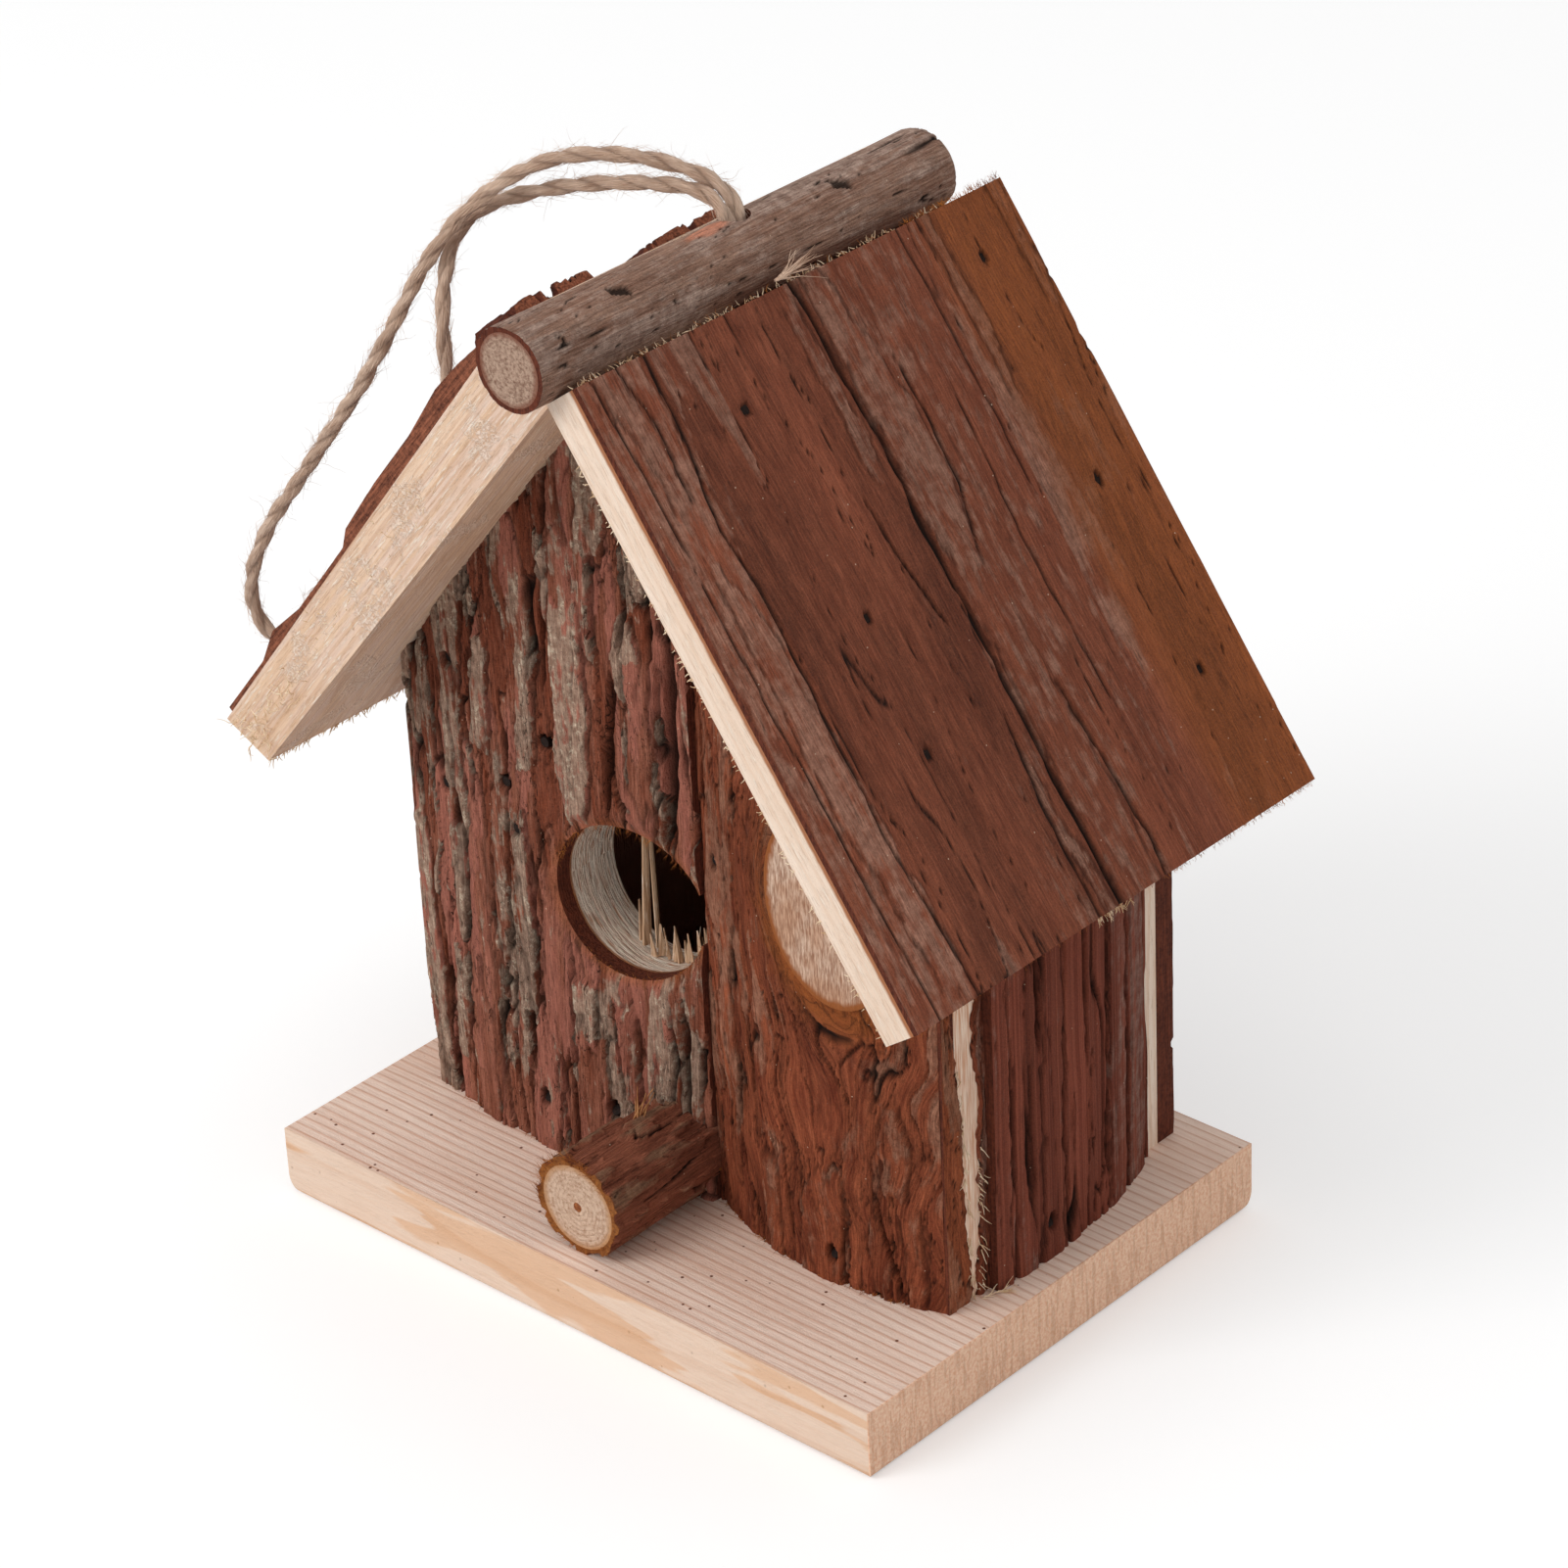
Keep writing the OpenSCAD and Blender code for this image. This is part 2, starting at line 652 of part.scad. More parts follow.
module left_roof_bark() {
  top = [for (p = left_plates) [left_len * p[0], left_t(left_len * p[0]) + left_bark_t * p[1]]];
  end = left_len * left_plates[len(left_plates) - 1][0];
  color("saddlebrown") difference() {
    in_left_roof() from_front(-left_front_y, roof_back_y)
      polygon(concat([[0, left_t(0)]], top, [[end, left_t(end)]]));
    left_roof_nail_set(true);
  }
}

// Right roof: a thin slab whose bark has one long crack from ridge to eave, near the middle
crack_w = 3;
crack_depth = 0.9;
crack_y = -0.5;
module right_roof_slab() {
  color("burlywood") difference() {
    in_right_roof() from_front(-right_front_y, roof_back_y) square([right_len, right_t]);
    right_roof_brad_set(true);
  }
}
module right_roof_bark() {
  color("sienna") difference() {
    in_right_roof() from_front(-right_front_y, roof_back_y)
      translate([0, right_t]) square([right_len, right_bark_t]);
    in_right_roof() translate([-past, crack_y - crack_w / 2, right_t + right_bark_t - crack_depth])
      cube([right_len + 2 * past, crack_w, right_t]);
    right_roof_brad_set(true);
  }
}

// Ridge log with its thin bark and the slanted bore for the twine
module along_ridge() {
  translate([ridge_x, ridge_back_y, ridge_z]) rotate([90, 0, 0]) children();
}
module in_twine_bore() {
  translate([ridge_x, -twine_y, ridge_z]) rotate([0, -twine_lean, 0]) children();
}
module ridge_cuts() {
  in_twine_bore() cylinder(r = twine_bore_r, h = 4 * ridge_r, center = true);
  ridge_nail_set(true);
}
ridge_len = ridge_front_y + ridge_back_y;
module ridge_log() {
  color("tan") difference() {
    along_ridge() cylinder(r = ridge_r - ridge_bark_t, h = ridge_len);
    ridge_cuts();
  }
}
module ridge_bark() {
  color("rosybrown") difference() {
    along_ridge() difference() {
      cylinder(r = ridge_r, h = ridge_len);
      translate([0, 0, -past]) cylinder(r = ridge_r - ridge_bark_t, h = ridge_len + 2 * past);
    }
    ridge_cuts();
  }
}

// Perch stub: its back end is scribed to the round bark of the front wall
module perch_blank(r) {
  difference() {
    translate([-perch_x, -front_inner_y, perch_z]) rotate([90, 0, 0])
      cylinder(r = r, h = perch_front_y - front_inner_y);
    wall_blank() front_left_plan() slab_outline(front_left_w, front_crest_t + front_bark_t,
      front_left_r, front_joint_x + front_left_crest_x);
    wall_blank() front_right_plan() slab_outline(front_right_w + joint_gap,
      front_crest_t + front_bark_t, front_right_r, front_right_x - front_right_crest_x);
  }
}
module perch_core() {
  color("wheat") difference() {
    perch_blank(perch_r - perch_bark_t);
    perch_nail_set(true);
  }
}
module perch_bark() {
  color("sienna") difference() {
    perch_blank(perch_r);
    translate([-perch_x, 0, perch_z]) rotate([90, 0, 0])
      cylinder(r = perch_r - perch_bark_t, h = perch_front_y + past);
  }
}

// The groups of brads and nails
module front_brads() {
  color("dimgray") front_brad_set(false);
}
module side_brads() {
  color("dimgray") side_brad_set(false);
}
module back_brads() {
  color("dimgray") back_brad_set(false);
}
module left_roof_nails() {
  color("dimgray") left_roof_nail_set(false);
}
module right_roof_brads() {
  color("dimgray") right_roof_brad_set(false);
}
module ridge_nails() {
  color("dimgray") ridge_nail_set(false);
}
module perch_nail() {
  color("peru") perch_nail_set(false);
}
module base_nails() {
  color("dimgray") base_nail_set(false);
}

// A smooth curve through the route's points, and a tube of rings swept along it
function held(points, i) = points[max(0, min(len(points) - 1, i))];
function between(p0, p1, p2, p3, t) = 0.5 * (2 * p1 + (p2 - p0) * t
  + (2 * p0 - 5 * p1 + 4 * p2 - p3) * t * t + (3 * p1 - p0 - 3 * p2 + p3) * t * t * t);
function smooth_route(points, steps) = concat(
  [for (i = [0 : len(points) - 2], k = [0 : steps - 1])
    between(held(points, i - 1), points[i], points[i + 1], held(points, i + 2), k / steps)],
  [points[len(points) - 1]]);
function unit(v) = v / norm(v);
function heading(path, i) = unit(held(path, i + 1) - held(path, i - 1));
// The ring's first direction, carried along the path so that the tube doesn't twist
function carried(path, i, side) = unit(side - heading(path, i) * (side * heading(path, i)));
function sides_along(path, i = 0, side = [0, 1, 0], found = []) = i == len(path)
  ? found
  : let (next = carried(path, i, side)) sides_along(path, i + 1, next, concat(found, [next]));
module tube(path, d, sides) {
  across = sides_along(path);
  points = [for (i = [0 : len(path) - 1], k = [0 : sides - 1])
    let (a = 360 * k / sides, other = cross(heading(path, i), across[i]))
      path[i] + d / 2 * (across[i] * cos(a) + other * sin(a))];
  last = (len(path) - 1) * sides;
  walls = [for (i = [0 : len(path) - 2], k = [0 : sides - 1])
    let (a = i * sides + k, b = i * sides + (k + 1) % sides)
      each [[a, a + sides, b + sides], [a, b + sides, b]]];
  start_cap = [for (k = [1 : sides - 2]) [0, k, k + 1]];
  end_cap = [for (k = [1 : sides - 2]) [last, last + k + 1, last + k]];
  polyhedron(points, concat(walls, start_cap, end_cap));
}
module twine_loop() {
  color("peru") tube(smooth_route(twine_route, rings_per_span), twine_d, twine_sides);
}

// The two strands inside the bore, and the knot that holds them under the ridge
strand_gap = 0.3;
strand_top = 3.9;
knot_drop = 14.7;
// The knot's two turns stand out of its ball a little and lean to both sides
turn_sunk = 0.4;
turn_lean = 35;
module twine_knot() {
  color("peru") in_twine_bore() {
    for (side = [-1, 1]) translate([0, side * (twine_d + strand_gap) / 2, -knot_drop])
      cylinder(d = twine_d, h = knot_drop + strand_top);
    translate([0, 0, -knot_drop]) {
      sphere(r = twine_knot_r);
      for (lean = [-turn_lean, turn_lean]) rotate([lean, 90, 0])
        rotate_extrude() translate([twine_knot_r - turn_sunk, 0]) circle(d = twine_d / 2);
    }
  }
}

// The frayed end that lies in the groove between the ridge log and the right roof's upper edge
tail_d = 2;
tail_len = 9;
tail_y = 5;
tail_rise = 14;
tail_gap = 0.3;
tail_off = tail_d / 2 + tail_gap;
tail_corner = on_right(right_len, right_t + right_bark_t);
module twine_tail() {
  color("peru") translate([tail_corner[0] - tail_off / 2, -tail_y, tail_corner[1] + tail_off])
    rotate([-90 + tail_rise, 0, 0]) cylinder(d = tail_d, h = tail_len);
}

base_board();
front_left_slab();
front_left_bark();
front_right_slab();
front_right_bark();
left_wall_slab();
left_wall_bark();
right_wall_slab();
right_wall_bark();
back_left_slab();
back_left_bark();
back_right_slab();
back_right_bark();
left_roof_slab();
left_roof_bark();
right_roof_slab();
right_roof_bark();
ridge_log();
ridge_bark();
perch_core();
perch_bark();
front_brads();
side_brads();
back_brads();
left_roof_nails();
right_roof_brads();
ridge_nails();
perch_nail();
base_nails();
twine_loop();
twine_knot();
twine_tail();
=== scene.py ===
"""A rustic birdhouse with bark walls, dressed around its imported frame."""

import math
import random

import bmesh
import bpy
from mathutils import Matrix, Vector, noise


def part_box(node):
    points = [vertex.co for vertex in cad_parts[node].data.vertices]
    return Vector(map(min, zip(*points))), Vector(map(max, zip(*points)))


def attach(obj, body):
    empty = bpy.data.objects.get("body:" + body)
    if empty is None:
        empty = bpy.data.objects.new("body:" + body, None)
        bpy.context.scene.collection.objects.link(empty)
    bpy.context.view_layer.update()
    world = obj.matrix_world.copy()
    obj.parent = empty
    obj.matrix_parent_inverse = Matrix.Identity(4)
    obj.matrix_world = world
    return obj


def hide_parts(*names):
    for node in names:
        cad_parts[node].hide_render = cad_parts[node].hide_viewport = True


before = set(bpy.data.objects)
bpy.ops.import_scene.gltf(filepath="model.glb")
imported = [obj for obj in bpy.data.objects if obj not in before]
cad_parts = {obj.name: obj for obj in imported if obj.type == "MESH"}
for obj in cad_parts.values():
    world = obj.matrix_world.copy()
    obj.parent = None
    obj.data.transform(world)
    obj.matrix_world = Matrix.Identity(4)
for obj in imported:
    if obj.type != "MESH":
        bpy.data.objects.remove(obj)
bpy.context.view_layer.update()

bl_info = {
    "name": "Rustic birdhouse",
    "version": (1, 0, 0),
    "blender": (4, 5, 0),
    "location": "3D View > Sidebar > Birdhouse",
    "description": "Bark, sawn wood, brads and twine of a hanging birdhouse",
    "category": "Object",
}

# Lengths below are in millimetres, in the frame's own directions
MM = 0.001

# Base board
BASE_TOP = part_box("base_board")[1][2] / MM

# Front wall: inner face, then the two slabs' round faces
FRONT_INNER = 12
FRONT_CREST = 12
FRONT_BARK = 4.4
FRONT_LEFT_EDGE = -65
FRONT_RIGHT_EDGE = 66
FRONT_JOINT = 8
JOINT_GAP = 0.2
LEFT_ROUND = (125, -30)
RIGHT_ROUND = (72, 40)
ENTRY = Vector((-7.4, 75.5, 0))
ENTRY_RADIUS = 16
KNOT = Vector((47, 96, 0))
KNOT_HALF = (15, 20)
KNOT_FACE = 30.0

# Side walls and back wall
WALL_SPAN = (-12, 40)
SIDE_ROUND = (105, 2)
SIDE_WOOD = 65.9
SIDE_BARK = 3.5
BACK_INNER = 40
BACK_CREST = 8
BACK_BARK = 5.5
BACK_RADIUS = 150
BACK_EDGE = 61
BACK_JOINT = -4

# Roof slabs: lower inner edge, slope, length and depth
LEFT_EAVE = (-80.7, 89.3)
LEFT_SLOPE = math.radians(49.8)
LEFT_LENGTH = 134
LEFT_DEPTH = (-45, 55)
LEFT_EAVE_WOOD = 11.8
LEFT_RIDGE_WOOD = 15.2
LEFT_SKEW = 2.8
LEFT_BARK = 3.9
RIGHT_EAVE = (82.311, 93.982)
RIGHT_SLOPE = math.radians(54.5)
RIGHT_LENGTH = 122.3
RIGHT_DEPTH = (-55, 55)
RIGHT_WOOD = 7.8
LEFT_UP = Vector((math.cos(LEFT_SLOPE), 0, math.sin(LEFT_SLOPE)))
LEFT_OUT = Vector((-math.sin(LEFT_SLOPE), 0, math.cos(LEFT_SLOPE)))
RIGHT_UP = Vector((-math.cos(RIGHT_SLOPE), 0, math.sin(RIGHT_SLOPE)))
RIGHT_OUT = Vector((math.sin(RIGHT_SLOPE), 0, math.cos(RIGHT_SLOPE)))
RIGHT_BARK = 1.5
GABLE_TOP = 190.45

# Ridge log and perch
RIDGE_CORE = 6.8
RIDGE_BARK = 1.0
RIDGE_SPAN = (-59.5, 47.5)
RIDGE = [(low + high) / 2 / MM for low, high in zip(*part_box("ridge_log"))]
PERCH_CORE = 8.7
PERCH_BARK = 1.3
PERCH_FRONT = -50.4
PERCH = (-0.3, 24.45)
PERCH_REACH = 26

# The twine's route over the left roof, from the ridge log and back into it
TWINE_ROUTE = [
    (6.8, -0.5, 204.5), (6.1, -0.6, 208), (4.4, -1, 211.4), (0.5, -2.5, 214.2),
    (-6, -6, 216.5), (-14, -10.5, 217.5), (-22.5, -14, 216), (-30, -17, 212.5),
    (-37, -20, 207), (-42.5, -22.5, 201), (-47.5, -25.5, 193), (-53, -29, 181.5),
    (-59.5, -32, 169), (-67.5, -35, 156.5), (-75, -37, 145.5), (-81.5, -38, 136.5),
    (-86.5, -38.5, 127), (-88.8, -38, 119.5), (-88.8, -37, 114.4), (-86.8, -36, 110.8),
    (-83.2, -35, 110), (-79.8, -34, 113.4), (-76.8, -32, 121), (-66.5, -29.5, 131),
    (-57, -28.5, 142.5), (-51, -28.5, 153.5), (-43.5, -29, 163.5), (-39.6, -29.5, 171),
    (-41, -28.5, 181), (-44, -24.5, 189.5), (-45, -20, 197), (-41, -17, 202.5),
    (-33, -14.5, 206.5), (-23, -11, 209.5), (-13, -8, 211.5), (-4, -5, 212.2),
    (1, -3.9, 211.8), (4.5, -3.5, 210.2), (6.1, -3.4, 207.6), (6.8, -3.5, 204.5),
]
TWINE_SIDES = 28

# A ply's radius as a share of the twine's diameter, and how far it lies off the middle
PLY_RADIUS = 1 / 2.7
PLY_OFFSET = 0.44


def linear(red, green, blue):
    """A colour as seen on a screen, from 0 to 255, as the shaders' own numbers."""
    def one(value):
        share = value / 255
        return share / 12.92 if share <= 0.04045 else ((share + 0.055) / 1.055) ** 2.4
    return (one(red), one(green), one(blue), 1.0)


def mix(start, end, share):
    return start + (end - start) * share


def ramp(low, high, value):
    """A soft step from 0 at low to 1 at high."""
    share = max(0.0, min(1.0, (value - low) / (high - low)))
    return share * share * (3 - 2 * share)


def wave(x, y, z):
    return noise.noise(Vector((x, y, z)))


# The sizes and colours that a user would change
def number_field(name, description, default, **rest):
    return bpy.props.FloatProperty(name=name, description=description, default=default, **rest)


def size_field(name, description, millimetres, **rest):
    return number_field(name, description, millimetres * MM, unit="LENGTH", **rest)


def angle_field(name, description, degrees):
    return number_field(name, description, math.radians(degrees), unit="ROTATION")


def colour_field(name, description, colour):
    return bpy.props.FloatVectorProperty(
        name=name, description=description, subtype="COLOR", size=4, default=colour)


class BirdhouseView(bpy.types.PropertyGroup):
    azimuth: angle_field("Azimuth", "Turn of the camera to the right of the front wall", 43.24)
    elevation: angle_field("Elevation", "Height of the camera over the horizon", 29.4)
    roll: angle_field("Roll", "Turn of the camera about its line of sight", -2.8)
    distance: size_field("Distance", "Distance from the camera to the aim", 1034.76)
    aim_side: size_field("Aim, sideways", "How far the aim lies to the right of the origin", 3.33)
    aim_up: size_field("Aim, up", "How far the aim lies above the origin in the picture", 80.0)
    lens: number_field("Lens", "Focal length on a 36 mm wide sensor", 122.99, unit="CAMERA")


class BirdhouseLight(bpy.types.PropertyGroup):
    sky: number_field("Sky", "Strength of the even light from all round", 0.62, min=0)
    key: number_field("Key", "Power of the large lamp at the front", 13, min=0, unit="POWER")
    top: number_field("Top", "Power of the lamp overhead", 4, min=0, unit="POWER")
    floor: colour_field("Floor", "Colour of the floor", (0.8, 0.8, 0.8, 1))
    lift: number_field("Floor lift", "How much whiter the camera sees the floor", 0.3)


class BirdhouseBark(bpy.types.PropertyGroup):
    across: size_field("Cell across", "Mesh size across the grain", 0.34, min=0.2 * MM)
    along: size_field("Cell along", "Mesh size along the grain", 0.85, min=0.4 * MM)
    red: colour_field("Inner bark", "Fresh bark under the outer flakes", linear(170, 110, 88))
    deep_red: colour_field("Inner bark, dark", "Dark fibres of the inner bark",
                           linear(112, 58, 40))
    grey: colour_field("Outer bark", "Weathered outer flakes", linear(180, 150, 130))
    deep_grey: colour_field("Outer bark, dark", "Dark parts of the outer flakes",
                            linear(126, 96, 80))
    # Painted shade: the bark's cracks and pits are painted towards this near-black colour.
    crack: colour_field("Crack", "Bottom of the cracks", linear(26, 16, 12))


class BirdhouseWood(bpy.types.PropertyGroup):
    cream: colour_field("Cream wood", "Pale sawn wood", linear(250, 230, 212))
    line: colour_field("Growth line", "Late wood in the growth rings", linear(226, 190, 160))
    board: colour_field("Base board", "Pale board", linear(250, 226, 210))
    board_line: colour_field("Base board's lines", "Late wood of the board",
                             linear(210, 160, 132))
    ring: size_field("Ring spacing", "Width of one growth ring", 2.2)


class BirdhouseTwine(bpy.types.PropertyGroup):
    diameter: size_field("Diameter", "Thickness of the twine", 2.7)
    turn: size_field("Turn", "Length of one full turn of the two plies", 15)
    hairs: bpy.props.IntProperty(
        name="Hairs", description="Number of loose hairs", default=3200, min=0)
    light: colour_field("Light fibre", "Pale jute", linear(236, 206, 182))
    dark: colour_field("Dark fibre", "Brown jute", linear(178, 142, 118))


# Shader nodes, wired as sums
class Wire:
    """A shader node's output, which adds, scales and patterns like a value."""
    def __init__(self, tree, socket):
        self.tree = tree
        self.socket = socket

    def math(self, operation, *others):
        return made(self.tree, "ShaderNodeMath", {"operation": operation},
                    dict(enumerate((self, *others))))

    def vector(self, operation, *others, out=0):
        return made(self.tree, "ShaderNodeVectorMath", {"operation": operation},
                    dict(enumerate((self, *others))), out)

    def __add__(self, other):
        return self.math("ADD", other)

    __radd__ = __add__

    def __mul__(self, other):
        return self.math("MULTIPLY", other)

    def __sub__(self, other):
        return self.math("SUBTRACT", other)

    def __rsub__(self, other):
        return made(self.tree, "ShaderNodeMath", {"operation": "SUBTRACT"}, {0: other, 1: self})

    def __truediv__(self, other):
        return self.math("DIVIDE", other)

    def most(self, other):
        return self.math("MAXIMUM", other)

    def under(self, limit):
        return self.math("LESS_THAN", limit)

    def over(self, limit):
        return self.math("GREATER_THAN", limit)

    def scaled(self, by):
        """This place, stretched along its axes."""
        return self.vector("MULTIPLY", by)

    def step(self, low, high):
        """A soft step of the value between two limits."""
        return made(self.tree, "ShaderNodeMapRange", {"interpolation_type": "SMOOTHSTEP"},
                    {"Value": self, "From Min": low, "From Max": high})

    def cloud(self, scale, detail=2.0, roughness=0.5):
        """Soft noise at this place."""
        return made(self.tree, "ShaderNodeTexNoise", values={
            "Vector": self, "Scale": scale, "Detail": detail, "Roughness": roughness})

    def turned(self, rotation):
        return made(self.tree, "ShaderNodeMapping",
                    values={"Vector": self, "Rotation": rotation})

    def parts(self):
        apart = self.tree.nodes.new("ShaderNodeSeparateXYZ")
        fill(self.tree, apart.inputs[0], self)
        return [Wire(self.tree, socket) for socket in apart.outputs]


def fill(tree, socket, value):
    if isinstance(value, Wire):
        tree.links.new(value.socket, socket)
    else:
        socket.default_value = value


def made(tree, kind, settings=None, values=None, out=0):
    """A new node's output. Its inputs are filled by name or number."""
    node = tree.nodes.new(kind)
    for name, value in (settings or {}).items():
        setattr(node, name, value)
    for key, value in (values or {}).items():
        fill(tree, node.inputs[key], value)
    return Wire(tree, node.outputs[out])


def joined(tree, **axes):
    return made(tree, "ShaderNodeCombineXYZ", values=axes)


def blend(share, start, end):
    """Mixes two colours."""
    return made(share.tree, "ShaderNodeMix", {"data_type": "RGBA"},
                {0: share, 6: start, 7: end}, out=2)


def toned(colour, value):
    return made(colour.tree, "ShaderNodeHueSaturation",
                values={"Value": value, "Color": colour})


def effect(name, inputs, outputs, build, place, values):
    """Uses a node group on a place. The group is built the first time it is asked for."""
    if name not in bpy.data.node_groups:
        group = bpy.data.node_groups.new(name, "ShaderNodeTree")
        group.interface.new_socket("Vector", in_out="INPUT", socket_type="NodeSocketVector")
        for label, value in inputs.items():
            socket = group.interface.new_socket(
                label, in_out="INPUT", socket_type="NodeSocketFloat")
            socket.default_value = value
        for label in outputs:
            group.interface.new_socket(label, in_out="OUTPUT", socket_type="NodeSocketFloat")
        enter = group.nodes.new("NodeGroupInput")
        leave = group.nodes.new("NodeGroupOutput")
        results = build(*(Wire(group, enter.outputs[label]) for label in ("Vector", *inputs)))
        for label, result in zip(outputs, results):
            fill(group, leave.inputs[label], result)
    node = place.tree.nodes.new("ShaderNodeGroup")
    node.node_tree = bpy.data.node_groups[name]
    for socket, value in zip(node.inputs, (place, *values)):
        fill(place.tree, socket, value)
    return [Wire(place.tree, node.outputs[label]) for label in outputs]


def streaks(place, across, along, shift=0.0):
    """Fine fibres, longer along the grain (second axis) than across it."""
    def build(vector, wide, tall, moved):
        spot = vector.vector("DIVIDE", joined(vector.tree, X=wide, Y=tall, Z=wide))
        spot = spot.vector("ADD", joined(vector.tree, Z=moved))
        return [spot.cloud(1.0, 3.0, 0.6).step(0.3, 0.7)]
    return effect("Fibre streaks", {"Across": 0.5, "Along": 10.0, "Shift": 0.0}, ["Mask"],
                  build, place, (across, along, shift))[0]


def scales(place, across, along):
    """Small overlapping scales: each rises slowly and ends in a short step, whose Edge is a painted
    shadow.
    """
    def build(vector, wide, tall):
        spot = vector.vector("DIVIDE", joined(vector.tree, X=wide, Y=tall, Z=wide))
        rise = (spot.cloud(1.0, 3.0, 0.55) * 5.0).math("FRACT")
        patch = spot.cloud(0.3).step(0.4, 0.6)
        return rise * patch, (1.0 - rise.step(0.0, 0.14)) * patch
    return effect("Scales", {"Across": 1.5, "Along": 6.0}, ["Height", "Edge"],
                  build, place, (across, along))


def rings(place, spacing, wander, tilt):
    """Growth rings of sawn wood: grain along X, rings stacked along Y, in millimetres."""
    def build(vector, apart, bend, lean):
        _, y, z = vector.parts()
        drift = (vector.scaled((0.012, 0.06, 0.06)).cloud(1.0) - 0.5) * (bend * 4.0)
        ring = ((y + z * lean + drift) / apart).math("FRACT")
        late = ring.step(0.35, 0.86) * (1.0 - ring.step(0.88, 1.0))
        fibre = vector.scaled((0.06, 2.4, 2.4)).cloud(1.0, 3.0, 0.6)
        patches = vector.scaled((0.02, 0.09, 0.09)).cloud(1.0, 2.0).step(0.42, 0.7)
        return late, fibre, patches, late * 0.35 + fibre
    return effect("Growth rings", {"Spacing": 2.2, "Wander": 1.5, "Tilt": 0.2},
                  ["Lines", "Fibre", "Patches", "Height"], build, place,
                  (spacing, wander, tilt))


def specks(place, density, size, share):
    """Scattered specks of dust or dirt."""
    def build(vector, dense, wide, part):
        tree = vector.tree
        dots = tree.nodes.new("ShaderNodeTexVoronoi")
        fill(tree, dots.inputs["Vector"], vector)
        fill(tree, dots.inputs["Scale"], dense)
        pick = made(tree, "ShaderNodeSeparateColor", values={0: Wire(tree, dots.outputs["Color"])})
        near = 1.0 - Wire(tree, dots.outputs["Distance"]).step(wide * 0.6, wide)
        return [pick.under(part) * near]
    return effect("Specks", {"Density": 0.5, "Size": 0.12, "Share": 0.1}, ["Mask"],
                  build, place, (density, size, share))[0]


def new_material(name):
    material = bpy.data.materials.new(name)
    material.use_nodes = True
    return material, material.node_tree


def grain_map(tree):
    return made(tree, "ShaderNodeUVMap", {"uv_map": "grain"})


def attribute(tree, label):
    return made(tree, "ShaderNodeAttribute", {"attribute_name": label}, out="Fac")


def object_place(tree, turn=(0, 0, 0), centre=(0, 0, 0)):
    """Object coordinates in millimetres from a centre, turned so that X follows the grain."""
    coordinates = made(tree, "ShaderNodeTexCoord", out="Object")
    moved = made(tree, "ShaderNodeMapping", values={
        "Vector": coordinates, "Location": [-value for value in centre],
        "Scale": (1 / MM, 1 / MM, 1 / MM)})
    return moved.turned(turn)


def bump(height, strength, distance):
    return made(height.tree, "ShaderNodeBump", values={
        "Height": height, "Strength": strength, "Distance": distance * MM})


def coat(material, **inputs):
    """Fills a material's shader, whose inputs are named with _ for a space."""
    shader = material.node_tree.nodes["Principled BSDF"]
    for label, value in inputs.items():
        fill(material.node_tree, shader.inputs[label.replace("_", " ")], value)
    return material


def grain_turn(grain, ring):
    """The turn that lays the grain on X and the rings' normal on Y."""
    grain = Vector(grain).normalized()
    ring = Vector(ring).normalized()
    return Matrix((grain, ring, grain.cross(ring))).to_euler()


# Materials
# The looks that the relief hands to the bark's shader; 'crack' marks where it paints near-black
# shade.
BARK_LOOKS = ("outer", "crack", "tone", "warm")


